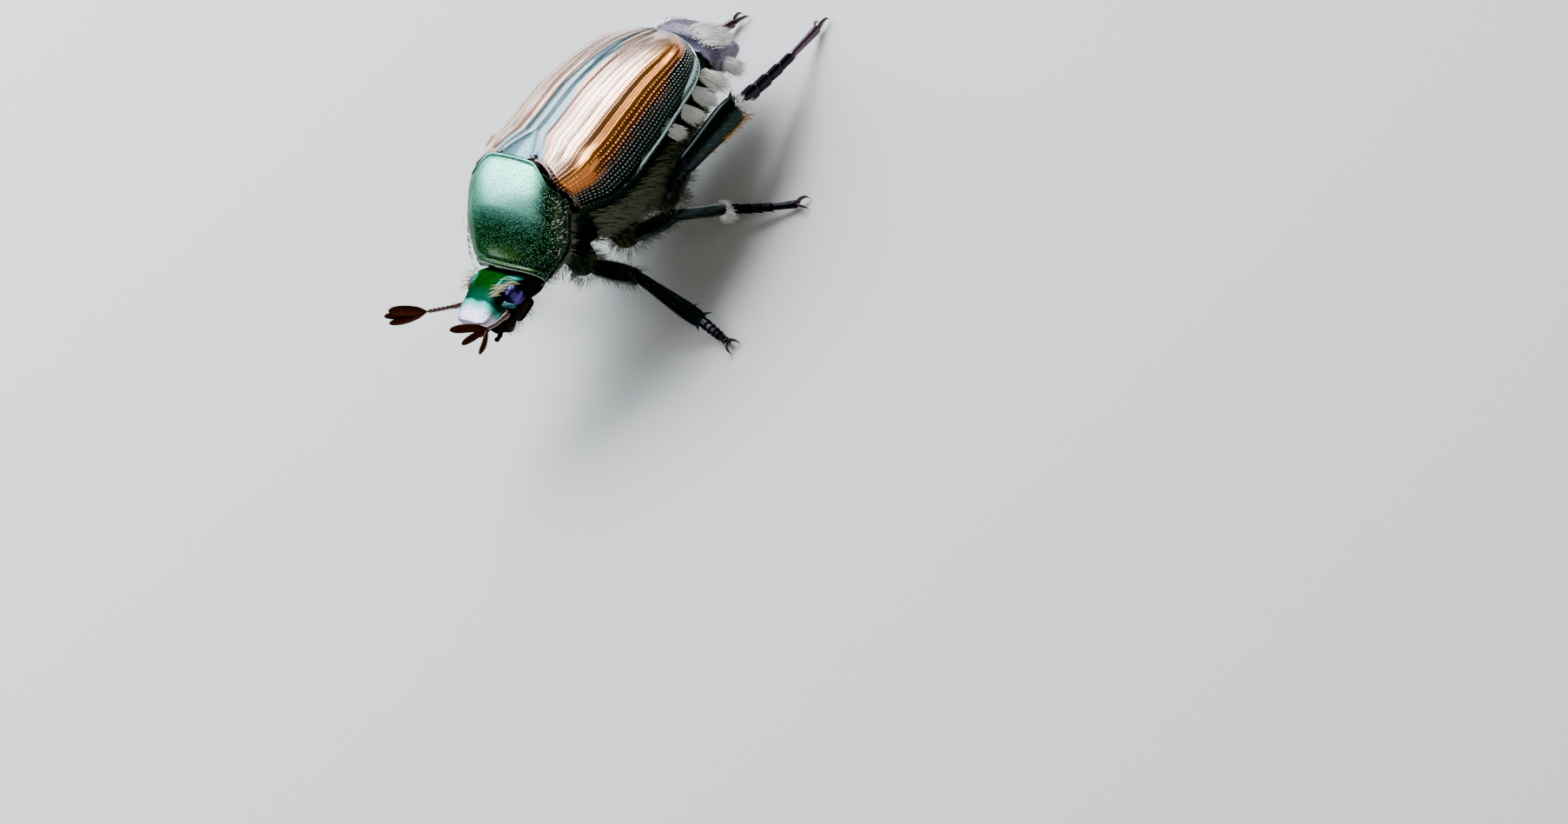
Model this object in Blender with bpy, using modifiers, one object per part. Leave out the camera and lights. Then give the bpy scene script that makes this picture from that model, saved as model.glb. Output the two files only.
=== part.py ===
"""Japanese beetle, Popillia japonica, standing at life size.

The head faces -Y, +X is the beetle's left and +Z is up. Sizes are in millimetres. Body
sizes are in the body's own frame, where y runs back from the tip of the scutellum and z
up from the breast. to_floor() stands that frame on the floor with its head a little high.
The joints of the legs are in the floor's frame, with z as their height above the floor.
"""

import math
import random

import bmesh
import bpy
import numpy as np
from mathutils import Matrix, Quaternion, Vector

MM = 0.001
GAP = 0.25  # clear space between neighbouring pieces
PITCH = math.radians(8.5)  # the body stands with its head this much high
RIDE = 0.83  # height of the body frame's origin above the floor

# Elytra, from the shoulders to their tips: y, half-width, height of the margin, height of the back
ELYTRA = (
    (-1.02, 2.50, 3.15, 4.70),
    (-0.60, 2.68, 2.98, 4.69),
    (0.30, 2.78, 2.90, 4.68),
    (1.45, 2.76, 2.94, 4.71),
    (2.55, 2.60, 2.99, 4.60),
    (3.50, 2.42, 3.00, 4.36),
    (4.15, 2.12, 3.10, 4.08),
    (4.60, 1.48, 3.36, 3.82),
    (4.78, 0.84, 3.52, 3.70),
)
ELYTRA_ROUNDNESS = 2.5  # exponent of the arch: 2 is an ellipse, more is squarer
SHELL = 0.5  # thickness of an elytron
RIBS = 6  # raised ribs along each elytron
RIB_HEIGHT = 0.07
ELYTRON_ROWS = 13
LINING_COLUMNS = 5  # points across the inner side of an elytron

# Scutellum: a rounded triangle between the bases of the elytra
SCUTELLUM_HALF_WIDTH = 0.66
SCUTELLUM_TIP = -0.12
SCUTELLUM_ROWS = 5

# Breast and belly below the elytra: y, half-width of the flank, height of the keel
TRUNK = (
    (-1.02, 2.15, 1.20),
    (-0.20, 2.42, 0.98),
    (0.80, 2.50, 0.86),
    (2.00, 2.42, 0.92),
    (3.00, 2.26, 1.08),
    (3.90, 2.10, 1.34),
    (4.45, 1.94, 1.58),
)
TRUNK_ROUNDNESS = 2.2
LEDGE_STEP = 0.06  # drop from the ledge below the elytra to the flank
THORAX_END = 1.55
ABDOMEN_END = 4.40
VENTRITES = 5
VENTRITE_STEP = 0.07  # each ring of the belly stands this much over the next

# Pygidium: y, half-width, height of the side, height of the top, height of the bottom
PYGIDIUM = (
    (4.65, 1.86, 2.46, 2.92, 1.64),
    (4.95, 1.84, 2.48, 2.98, 1.68),
    (5.10, 1.80, 2.46, 3.24, 1.66),
    (5.35, 1.66, 2.36, 3.28, 1.60),
    (5.65, 1.36, 2.16, 3.08, 1.54),
    (5.95, 0.98, 1.92, 2.64, 1.48),
    (6.14, 0.56, 1.74, 2.12, 1.48),
)
PYGIDIUM_ROUNDNESS = 2.2
PYGIDIUM_ROWS = 9

# Pronotum with the fore breast below it: the same columns
PRONOTUM = (
    (-3.62, 1.56, 2.36, 2.90, 1.85),
    (-3.20, 1.98, 2.50, 3.46, 1.62),
    (-2.45, 2.36, 2.66, 4.16, 1.42),
    (-1.80, 2.42, 2.88, 4.56, 1.34),
    (-1.27, 2.26, 3.02, 4.74, 1.30),
)
PRONOTUM_ROUNDNESS = 2.1
PRONOTUM_ROWS = 9
PRONOTUM_EDGE = 0.12  # how far the sharp side margin stands out over the flank below it

# Head with its shield in front, whose rim turns up: the same columns
HEAD = (
    (-3.87, 1.12, 2.30, 2.84, 1.78),
    (-4.14, 0.82, 2.26, 2.77, 1.60),
    (-4.55, 0.80, 2.24, 2.66, 1.64),
    (-4.88, 0.82, 2.22, 2.55, 1.78),
    (-5.14, 0.74, 2.22, 2.45, 1.92),
    (-5.30, 0.64, 2.24, 2.50, 1.98),
    (-5.39, 0.52, 2.26, 2.46, 2.04),
)
HEAD_ROUNDNESS = 2.8

# Labrum and jaws under the head: the same columns
MOUTH = (
    (-4.12, 0.34, 1.18, 1.34, 0.98),
    (-4.45, 0.46, 1.22, 1.38, 0.96),
    (-4.76, 0.42, 1.34, 1.50, 1.08),
)

EYE_CENTRE = Vector((0.95, -4.14, 2.22))
EYE_RADIUS = 0.35

# Feelers: the left one is folded towards the mouth and the right one reaches out
ANTENNA_ROOT = Vector((0.82 + GAP, -4.72, 2.20))
ANTENNA_ELBOW = Vector((1.22, -4.90, 2.24))
LEFT_CLUB = Vector((0.88, -5.38, 2.28))
LEFT_LAMELLA_TIPS = (
    Vector((0.20, -6.06, 2.82)),
    Vector((0.50, -6.18, 2.36)),
    Vector((0.86, -6.10, 1.86)),
)
RIGHT_CLUB = Vector((-1.52, -5.56, 2.66))
RIGHT_LAMELLA_TIPS = (
    Vector((-2.30, -6.28, 3.34)),
    Vector((-2.26, -6.44, 3.06)),
    Vector((-2.08, -6.52, 2.78)),
)
STALK_RADIUS = 0.25
LAMELLA_HALF_WIDTH = 0.27
LAMELLA_HALF_THICKNESS = 0.20

PALP_ROOT = Vector((0.27, -5.01, 1.32))
PALP_TIP = Vector((0.44, -5.42, 1.34))

# White hair tufts: y of those along each side of the belly, and one on each side of the pygidium
SIDE_TUFTS = (2.14, 2.82, 3.50, 4.14)
LAST_SIDE_TUFT = 5.14
LAST_TUFT_DROP = 0.25  # how far it sits below the widest level of the pygidium
SIDE_LIE = Vector((0.92, 0.12, -0.34))
PYGIDIUM_TUFT = (0.82, 5.22)
PYGIDIUM_LIE = Vector((0.20, 0.85, 0.42))
TUFT_LOCKS = 3
TUFT_FAN = math.radians(30)  # between neighbouring locks of a tuft
LOCK_LENGTH = 0.52
LOCK_HALF_WIDTH = 0.26
LOCK_HALF_THICKNESS = 0.17
LOCK_SINK = 0.30  # how deep a lock's root is set
LOCK_DROOP = 0.14
TUFT_SEED = 7

# Legs on the left: x and y of the root on the body, joints in the floor's frame, half-widths of
# the femur (broad, thin) and of the tibia (at the knee, at its end, thin), the way its outer
# edge faces, and its spines: share along it, edge (outer 1, inner -1), lean, length
LEGS = {
    "fore": dict(
        root=(0.66, -1.80),
        knee=(2.88, -1.52, 1.73),
        ankle=(4.83, -1.84, 0.46),
        toe=(5.95, -2.14),
        femur=(0.42, 0.30),
        tibia=(0.26, 0.36, 0.26),
        edge=(0.0, 1.0, 0.3),
        spines=((0.74, 1, 0.6, 0.42), (0.97, 1, 1.3, 0.50), (0.97, -1, 1.0, 0.36)),
    ),
    "mid": dict(
        root=(1.25, -0.50),
        knee=(3.45, 0.40, 2.21),
        ankle=(3.33, 1.57, 0.75),
        toe=(5.32, 2.47),
        femur=(0.40, 0.28),
        tibia=(0.26, 0.36, 0.26),
        edge=(1.0, 0.2, 0.3),
        spines=((0.45, 1, 0.7, 0.36), (0.96, 1, 1.0, 0.42), (0.96, -1, 1.0, 0.42)),
    ),
    "hind": dict(
        root=(1.45, 1.05),
        knee=(3.20, 1.74, 2.70),
        ankle=(2.88, 4.34, 1.98),
        toe=(1.66, 8.02),
        femur=(0.48, 0.32),
        tibia=(0.32, 0.46, 0.28),
        edge=(0.3, 0.1, -1.0),
        spines=((0.36, 1, 0.7, 0.34), (0.62, 1, 0.7, 0.36), (0.96, 1, 1.0, 0.46), (0.96, -1, 1.2, 0.40)),
    ),
}
# The right legs stand a little off the mirror image of the left ones: x and y of the foot
RIGHT_STEP = {"fore": (-0.30, -0.25), "mid": (0.20, 0.30), "hind": (0.35, -0.30)}
SOLE_HEIGHT = 0.24  # height of the last foot joint's middle; its sole is cut flat on the floor
COXA_RADIUS = 0.42
COXA_DEPTH = 0.5
TARSUS_RADIUS = 0.27
TARSUS_WAIST = 0.22
TARSUS_SAG = 0.14
CLAW_LENGTH = 0.42
CLAW_SPREAD = 0.20
CLAW_RADIUS = 0.11
SPINE_RADIUS = 0.15

GREEN = (0.03, 0.16, 0.07)
COPPER = (0.36, 0.13, 0.04)
BLUE_GREEN = (0.08, 0.22, 0.20)
BLACK_GREEN = (0.02, 0.04, 0.03)
VIOLET_BLACK = (0.03, 0.02, 0.05)
BROWN = (0.16, 0.06, 0.03)
GREY = (0.12, 0.13, 0.10)


def clear_scene():
    """Remove every object of the scene."""
    for obj in list(bpy.data.objects):
        bpy.data.objects.remove(obj, do_unlink=True)


def smooth_table(table):
    """A function of the first column that gives the other columns, smooth and with no overshoot."""
    columns = np.array(sorted(table), dtype=float).T
    at, values = columns[0], columns[1:]
    spans = np.diff(at)
    slopes = np.diff(values) / spans
    tangents = np.concatenate([slopes[:, :1], slopes], axis=1)
    before, after = slopes[:, :-1], slopes[:, 1:]
    same_way = before * after > 0
    total = np.where(same_way, before + after, 1.0)
    tangents[:, 1:-1] = np.where(same_way, 2 * before * after / total, 0.0)

    def read(place):
        i = int(np.clip(np.searchsorted(at, place, side="right") - 1, 0, len(spans) - 1))
        t = (place - at[i]) / spans[i]
        start = (1 + 2 * t) * (1 - t) ** 2 * values[:, i] + t * (1 - t) ** 2 * spans[i] * tangents[:, i]
        end = t * t * (3 - 2 * t) * values[:, i + 1] - t * t * (1 - t) * spans[i] * tangents[:, i + 1]
        return start + end

    return read


elytra = smooth_table(ELYTRA)
trunk = smooth_table(TRUNK)


def signed_power(value, exponent):
    """value to the power, with its sign kept."""
    return math.copysign(abs(value) ** exponent, value)


def to_floor(point):
    """A point of the body's frame in the floor's frame, in millimetres."""
    return Matrix.Rotation(-PITCH, 3, "X") @ Vector(point) + Vector((0, 0, RIDE))


def turned(direction):
    """A direction of the body's frame in the floor's frame."""
    return to_floor(direction) - to_floor((0, 0, 0))


def mirrored(point, sign):
    """The point on the left, or its mirror image on the right where sign is -1."""
    return Vector((sign * point.x, point.y, point.z))


def spread(start, end, count):
    """count values from start to end, both included."""
    return [start + (end - start) * i / (count - 1) for i in range(count)]


def finish(mesh, name, colour, roughness=0.35, metallic=0.0):
    """Make the mesh a named object of the beetle's collection, with a material of its own."""
    material = bpy.data.materials.new(name)
    material.use_nodes = True
    shader = material.node_tree.nodes["Principled BSDF"]
    shader.inputs["Base Color"].default_value = (*colour, 1.0)
    shader.inputs["Roughness"].default_value = roughness
    shader.inputs["Metallic"].default_value = metallic
    mesh.materials.append(material)
    mesh.shade_smooth()
    mesh.set_sharp_from_angle(angle=math.radians(35))
    obj = bpy.data.objects.new(name, mesh)
    bpy.data.collections["japanese_beetle"].objects.link(obj)
    return obj


def mesh_from(bm, name):
    """The bmesh as a mesh, in metres."""
    bmesh.ops.scale(bm, vec=(MM, MM, MM), verts=bm.verts)
    mesh = bpy.data.meshes.new(name)
    bm.to_mesh(mesh)
    bm.free()
    return mesh


def loft(rings, name, tip=None):
    """A closed surface through rings of equally many points, its far end flat or drawn to a tip."""
    bm = bmesh.new()
    rows = [[bm.verts.new(point) for point in ring] for ring in rings]
    count = len(rows[0])
    for row, following in zip(rows, rows[1:]):
        for i in range(count):
            j = (i + 1) % count
            bm.faces.new((row[i], row[j], following[j], following[i]))
    bm.faces.new(rows[0])
    if tip is None:
        bm.faces.new(rows[-1])
    else:
        point = bm.verts.new(tip)
        for i in range(count):
            bm.faces.new((rows[-1][i], rows[-1][(i + 1) % count], point))
    bmesh.ops.recalc_face_normals(bm, faces=bm.faces)
    return mesh_from(bm, name)


def sheet(rows, name, face_down=False):
    """An open surface through rows of equally many points."""
    bm = bmesh.new()
    grid = [[bm.verts.new(point) for point in row] for row in rows]
    for row, following in zip(grid, grid[1:]):
        for i in range(len(row) - 1):
            corners = (row[i], following[i], following[i + 1], row[i + 1])
            bm.faces.new(corners[::-1] if face_down else corners)
    return mesh_from(bm, name)


def thicken(obj, thickness):
    """Give an open surface its thickness, inwards from the side that shows."""
    solidify = obj.modifiers.new("thickness", "SOLIDIFY")
    solidify.thickness = thickness * MM
    solidify.offset = -1


def largest_shell(mesh):
    """Keep only the mesh's largest closed surface."""
    bm = bmesh.new()
    bm.from_mesh(mesh)
    left = set(bm.verts)
    shells = []
    while left:
        shell = set()
        edge = [left.pop()]
        while edge:
            vert = edge.pop()
            shell.add(vert)
            near = {link.other_vert(vert) for link in vert.link_edges} & left
            left -= near
            edge.extend(near)
        shells.append(shell)
    keep = max(shells, key=lambda shell: max(v.co.z for v in shell) - min(v.co.z for v in shell))
    bmesh.ops.delete(bm, geom=[v for v in bm.verts if v not in keep], context="VERTS")
    bm.to_mesh(mesh)
    bm.free()


def fuse(obj, pieces):
    """Join the pieces' meshes to the object in one union, and remove the pieces."""
    holder = bpy.data.collections.new(obj.name + "_pieces")
    bpy.context.scene.collection.children.link(holder)
    for piece in pieces:
        holder.objects.link(bpy.data.objects.new(piece.name, piece))
    union = obj.modifiers.new("pieces", "BOOLEAN")
    union.operation = "UNION"
    union.operand_type = "COLLECTION"
    union.collection = holder
    union.solver = "EXACT"
    bpy.context.view_layer.update()
    graph = bpy.context.evaluated_depsgraph_get()
    joined = bpy.data.meshes.new_from_object(obj.evaluated_get(graph))
    obj.modifiers.remove(union)
    obj.data = joined
    for piece in list(holder.objects):
        bpy.data.objects.remove(piece, do_unlink=True)
    bpy.data.collections.remove(holder)
    largest_shell(joined)


def oval(row, y, roundness, lower_roundness, count):
    """A ring across the body at y: flat sides meet an arched top and a rounded bottom."""
    half_width, side, top, bottom = row
    ring = []
    for i in range(count):
        angle = 2 * math.pi * i / count
        across, rise = math.cos(angle), math.sin(angle)
        power = 2 / (roundness if rise >= 0 else lower_roundness)
        reach = top - side if rise >= 0 else side - bottom
        x = half_width * signed_power(across, power)
        ring.append(to_floor((x, y, side + reach * signed_power(rise, power))))
    return ring


def dome(y, angle, depth=0.0):
    """Point of the elytra's arch, this deep under it, from the middle (0) to the margin (a right angle)."""
    half_width, margin, top = elytra(y)
    top -= depth
    margin = min(margin, top - 0.1)
    power = 2 / ELYTRA_ROUNDNESS
    x = (half_width - depth) * signed_power(math.sin(angle), power)
    return Vector((x, y, margin + (top - margin) * signed_power(math.cos(angle), power)))


def dome_angle(x, y, depth=0.0):
    """The angle at which the arch this deep under the elytra is x from the middle."""
    half_width = elytra(y)[0] - depth
    return math.asin(min(1.0, (x / half_width) ** (ELYTRA_ROUNDNESS / 2)))


def scutellum_half_width(y):
    """Half the scutellum's width at y: nothing behind its tip."""
    front = ELYTRA[0][0]
    along = (y - front) / (SCUTELLUM_TIP - front)
    return SCUTELLUM_HALF_WIDTH * max(0.0, 1 - along ** 1.4)


def build_elytron(side):
    """One wing case: a ribbed shell from the suture to the margin."""
    sign = 1 if side == "left" else -1
    columns = 2 * RIBS
    rings = []
    for y in spread(ELYTRA[0][0], ELYTRA[-1][0], ELYTRON_ROWS):
        suture = GAP / 2
        if y < SCUTELLUM_TIP:
            suture += scutellum_half_width(y) + GAP / 2
        start = dome_angle(suture, y)
        outer = []
        for column in range(columns + 1):
            point = dome(y, start + (math.pi / 2 - start) * column / columns)
            if column % 2 and column < columns - 1:
                point.z += RIB_HEIGHT
            outer.append(point)
        start = dome_angle(suture, y, SHELL)
        lining = [dome(y, angle, SHELL) for angle in spread(math.pi / 2, start, LINING_COLUMNS)]
        rings.append([to_floor((sign * x, y, z)) for x, y, z in outer + lining])
    name = "elytron_" + side
    finish(loft(rings, name), name, COPPER, 0.25, 0.8)


def build_scutellum():
    """The rounded triangular plate between the bases of the elytra."""
    rows = []
    for y in spread(ELYTRA[0][0], SCUTELLUM_TIP - GAP, SCUTELLUM_ROWS):
        reach = scutellum_half_width(y)
        row = []
        for x in spread(-reach, reach, 5):
            point = dome(y, dome_angle(abs(x), y))
            row.append(to_floor((x, y, point.z)))
        rows.append(row)
    mesh = sheet(rows, "scutellum", face_down=True)
    thicken(finish(mesh, "scutellum", BLUE_GREEN, 0.2, 0.8), SHELL)


def trunk_ring(y, swell=0.0):
    """A ring of the trunk: an arch under the elytra, a ledge below their margin, and the belly."""
    half_width, margin, top = elytra(min(y, ELYTRA[-1][0]))
    flank, keel = trunk(y)
    inner = half_width - SHELL - GAP
    roof = top - SHELL - GAP
    ledge = min(margin - GAP, roof - 0.2)
    half = []
    for angle in spread(0.0, math.pi / 2, 5):
        power = 2 / ELYTRA_ROUNDNESS
        arch = ledge + (roof - ledge) * signed_power(math.cos(angle), power)
        half.append((inner * signed_power(math.sin(angle), power), arch))
    for angle in spread(0.0, math.pi / 2, 7):
        power = 2 / TRUNK_ROUNDNESS
        drop = (ledge - LEDGE_STEP - keel + swell) * signed_power(math.sin(angle), power)
        half.append(((flank + swell) * signed_power(math.cos(angle), power), ledge - LEDGE_STEP - drop))
    other_half = [(-x, z) for x, z in half[-2:0:-1]]
    return [to_floor((x, y, z)) for x, z in half + other_half]


def belly_surface(x, y):
    """Point and outward direction of the trunk's underside at x and y, in the body's frame."""
    if y < PRONOTUM[-1][0]:
        half_width, side, _, bottom = smooth_table(PRONOTUM)(y)
        half_width -= PRONOTUM_EDGE
        roundness = PRONOTUM_ROUNDNESS
    else:
        half_width, bottom = trunk(y)
        side = elytra(y)[1] - GAP - LEDGE_STEP
        roundness = TRUNK_ROUNDNESS

    def height(at):
        return side - (side - bottom) * (1 - (at / half_width) ** roundness) ** (1 / roundness)

    slope = (height(x + 0.05) - height(x - 0.05)) / 0.1
    return Vector((x, y, height(x))), Vector((slope, 0, -1)).normalized()


def build_thorax():
    """Middle and hind breast, one loft."""
    rings = [trunk_ring(y) for y in spread(TRUNK[0][0], THORAX_END, 6)]
    finish(loft(rings, "thorax"), "thorax", BLACK_GREEN)


def build_abdomen():
    """The belly, whose rings step down to the rear, with its side tufts of white hair."""
    length = (ABDOMEN_END - THORAX_END - GAP) / VENTRITES
    rings = []
    for i in range(VENTRITES):
        start = THORAX_END + GAP + length * i
        rings.append(trunk_ring(start + (0.03 if i else 0.0)))
        rings.append(trunk_ring(start + length, VENTRITE_STEP))
    abdomen = finish(loft(rings, "abdomen"), "abdomen", BLACK_GREEN)
    draw = random.Random(TUFT_SEED)
    locks = []
    for sign in (-1, 1):
        for y in SIDE_TUFTS:
            ledge = elytra(y)[1] - GAP
            root = Vector((sign * (trunk(y)[0] - 0.02), y, ledge - 0.24))
            lie = turned(mirrored(SIDE_LIE, sign))
            outward = turned((sign, 0, 0))
            locks += tuft(to_floor(root), outward, lie, draw)
    fuse(abdomen, locks)


def build_pygidium():
    """The end of the body: the plate behind the elytra and the last ring below it, with their tufts."""
    read = smooth_table(PYGIDIUM)
    rings = []
    for y in spread(PYGIDIUM[0][0], PYGIDIUM[-1][0], PYGIDIUM_ROWS):
        rings.append(oval(read(y), y, PYGIDIUM_ROUNDNESS, 2.0, 20))
    pygidium = finish(loft(rings, "pygidium"), "pygidium", GREY)
    draw = random.Random(TUFT_SEED)
    locks = []
    for sign in (-1, 1):
        half_width, side, top, _ = read(LAST_SIDE_TUFT)
        root = to_floor((sign * (half_width - 0.06), LAST_SIDE_TUFT, side - LAST_TUFT_DROP))
        locks += tuft(root, turned((sign, 0.3, 0)), turned(mirrored(SIDE_LIE, sign)), draw)
        x, y = PYGIDIUM_TUFT
        half_width, side, top, _ = read(y)
        rise = (1 - (x / half_width) ** PYGIDIUM_ROUNDNESS) ** (1 / PYGIDIUM_ROUNDNESS)
        root = to_floor((sign * x, y, side + (top - side) * rise - 0.04))
        locks += tuft(root, turned((0, 0.3, 1)), turned(mirrored(PYGIDIUM_LIE, sign)), draw)
    fuse(pygidium, locks)


def build_oval_body(name, table, roundness, lower_roundness, rows, count, colour):
    """A loft of oval rings through a table of stations."""
    read = smooth_table(table)
    rings = []
    for y in spread(table[0][0], table[-1][0], rows):
        rings.append(oval(read(y), y, roundness, lower_roundness, count))
    return finish(loft(rings, name), name, colour)


def build_pronotum():
    """The fore body: an arched shield whose sharp side margin stands over the fore breast."""
    read = smooth_table(PRONOTUM)
    rings = []
    for y in spread(PRONOTUM[0][0], PRONOTUM[-1][0], PRONOTUM_ROWS):
        half_width, side, top, bottom = read(y)
        upper = oval((half_width, side, top, bottom), y, PRONOTUM_ROUNDNESS, 2.0, 24)[:13]
        flank = (half_width - PRONOTUM_EDGE, side - PRONOTUM_EDGE, top, bottom)
        lower = oval(flank, y, PRONOTUM_ROUNDNESS, PRONOTUM_ROUNDNESS, 16)[8:]
        lower.append(oval(flank, y, PRONOTUM_ROUNDNESS, PRONOTUM_ROUNDNESS, 16)[0])
        rings.append(upper + lower)
    finish(loft(rings, "pronotum"), "pronotum", GREEN, 0.2, 0.8)


def build_eye(side):
    """A bulging eye, cut flat where it faces the side of the head."""
    sign = 1 if side == "left" else -1
    bm = bmesh.new()
    bmesh.ops.create_uvsphere(bm, u_segments=12, v_segments=8, radius=EYE_RADIUS)
    bmesh.ops.translate(bm, vec=EYE_CENTRE, verts=bm.verts)
    cheek = smooth_table(HEAD)(EYE_CENTRE.y)[0]
    everything = list(bm.verts) + list(bm.edges) + list(bm.faces)
    cut = bmesh.ops.bisect_plane(
        bm, geom=everything, plane_co=(cheek + GAP, 0, 0), plane_no=(-1, 0, 0), clear_outer=True
    )
    rim = [item for item in cut["geom_cut"] if isinstance(item, bmesh.types.BMEdge)]
    bmesh.ops.contextual_create(bm, geom=rim)
    for vert in bm.verts:
        vert.co = to_floor((sign * vert.co.x, vert.co.y, vert.co.z))
    bm.normal_update()
    bmesh.ops.recalc_face_normals(bm, faces=bm.faces)
    finish(mesh_from(bm, "eye_" + side), "eye_" + side, VIOLET_BLACK, 0.15)


def ring_at(centre, along, broad, half_broad, half_thin, plane, sides):
    """An ellipse round a limb that runs along, slid onto the plane through its centre."""
    across = (broad - broad.project(along)).normalized()
    normal = along.cross(across)
    ring = []
    for i in range(sides):
        angle = 2 * math.pi * (i + 0.5) / sides
        point = across * (half_broad * math.cos(angle)) + normal * (half_thin * math.sin(angle))
        point -= along * (point.dot(plane) / along.dot(plane))
        ring.append(centre + point)
    return ring


def limb(start, end, profile, broad, start_plane, end_plane, sides=8, sag=0.0):
    """Rings of a straight limb: profile holds fractions along it with the two half-widths there."""
    along = (end - start).normalized()
    rings = []
    for fraction, half_broad, half_thin in profile:
        plane = along
        if fraction == 0:
            plane = start_plane
        if fraction == 1:
            plane = end_plane
        centre = start.lerp(end, fraction) - Vector((0, 0, 4 * sag * fraction * (1 - fraction)))
        rings.append(ring_at(centre, along, broad, half_broad, half_thin, plane, sides))
    return rings


def blade(path, half_widths, half_thicknesses, broad, sides, name):
    """A closed piece with a ring round each point of a path but the last, which is its tip."""
    rings = []
    for i, (half_broad, half_thin) in enumerate(zip(half_widths, half_thicknesses)):
        along = (path[i + 1] - path[max(i - 1, 0)]).normalized()
        rings.append(ring_at(path[i], along, broad, half_broad, half_thin, along, sides))
    return loft(rings, name, tip=path[-1])


def spine(root, direction, length):
    """A short pointed spine."""
    bm = bmesh.new()
    bmesh.ops.create_cone(
        bm, cap_ends=True, segments=5, radius1=SPINE_RADIUS, radius2=0.03, depth=length
    )
    turn = Vector((0, 0, 1)).rotation_difference(direction).to_matrix().to_4x4()
    move = Matrix.Translation(root + direction * (length / 2))
    bmesh.ops.transform(bm, matrix=move @ turn, verts=bm.verts)
    return mesh_from(bm, "spine")


def tuft(root, outward, lie, draw):
    """Flat tapered locks that fan out from one root and droop towards their tips."""
    locks = []
    for i in range(TUFT_LOCKS):
        turn = Quaternion(outward, TUFT_FAN * (i - (TUFT_LOCKS - 1) / 2))
        along = (turn @ lie).normalized()
        length = LOCK_LENGTH * draw.uniform(0.85, 1.1)
        path = []
        for share in (0.0, 0.45, 0.8, 1.0):
            droop = Vector((0, 0, -LOCK_DROOP * share * share))
            path.append(root + along * (length * share) + droop)
        path.insert(0, root - along * LOCK_SINK)
        widths = [LOCK_HALF_WIDTH * share for share in (0.8, 1.0, 0.95, 0.55)]
        depths = [LOCK_HALF_THICKNESS * share for share in (0.9, 1.0, 0.9, 0.6)]
        broad = outward.cross(along)
        locks.append(blade(path, widths, depths, broad, 4, "lock"))
    return locks


def mitre(before, after):
    """The plane that halves the bend between two directions."""
    return (before.normalized() + after.normalized()).normalized()


def build_leg(pair, side):
    """Coxa, femur, tibia and tarsus of one leg, each its own piece."""
    leg = LEGS[pair]
    sign = 1 if side == "left" else -1
    name = f"leg_{pair}_{side}_"
    step = (0, 0) if side == "left" else RIGHT_STEP[pair]

    skin, outward = belly_surface(*leg["root"])
    foot_of_coxa = to_floor(skin + outward * GAP)
    head_of_coxa = to_floor(skin + outward * (GAP + COXA_DEPTH))
    hip = foot_of_coxa.lerp(head_of_coxa, 0.5)
    knee, ankle = Vector(leg["knee"]), Vector(leg["ankle"])
    toe = Vector((*leg["toe"], SOLE_HEIGHT))
    for joint, share in ((knee, 0.35), (ankle, 0.7), (toe, 1.0)):
        joint.x += step[0] * share
        joint.y += step[1] * share
    for point in (foot_of_coxa, head_of_coxa, hip, knee, ankle, toe):
        point.x *= sign
    facing = (head_of_coxa - foot_of_coxa).normalized()
    lengthwise = Vector((0, 1, 0))
    profile = ((0, COXA_RADIUS, COXA_RADIUS), (0.6, COXA_RADIUS, COXA_RADIUS * 0.95), (1, 0.26, 0.24))
    rings = limb(foot_of_coxa, head_of_coxa, profile, lengthwise, facing, facing)
    finish(loft(rings, name + "coxa"), name + "coxa", BLACK_GREEN)

    thigh, shin, foot = [(b - a).normalized() for a, b in ((hip, knee), (knee, ankle), (ankle, toe))]
    knee_plane, ankle_plane = mitre(thigh, shin), mitre(shin, foot)
    femur_half, femur_thin = leg["femur"]
    profile = (
        (0, 0.28, 0.27),
        (0.3, femur_half * 0.92, femur_thin),
        (0.6, femur_half, femur_thin),
        (1, 0.28, 0.26),
    )
    start = hip + thigh * (COXA_RADIUS + GAP)
    rings = limb(start, knee - knee_plane * (GAP / 2), profile, lengthwise, thigh, knee_plane)
    finish(loft(rings, name + "femur"), name + "femur", BLACK_GREEN)

    knee_half, apex_half, tibia_thin = leg["tibia"]
    profile = (
        (0, 0.27, 0.25),
        (0.3, knee_half + 0.04, tibia_thin),
        (0.8, apex_half, tibia_thin + 0.02),
        (1, apex_half, tibia_thin),
    )
    start, end = knee + knee_plane * (GAP / 2), ankle - ankle_plane * (GAP / 2)
    edge = Vector(leg["edge"])
    edge.x *= sign
    edge = (edge - edge.project(shin)).normalized()
    rings = limb(start, end, profile, edge, knee_plane, ankle_plane)
    tibia = finish(loft(rings, name + "tibia"), name + "tibia", BLACK_GREEN)
    spines = []
    for share, way, lean, length in leg["spines"]:
        root = start.lerp(end, share) + edge * way * (apex_half - SPINE_RADIUS)
        spines.append(spine(root, (edge * way + shin * lean).normalized(), length))
    fuse(tibia, spines)
    build_tarsus(name + "tarsus", ankle + ankle_plane * (GAP / 2), toe, ankle_plane)


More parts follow.
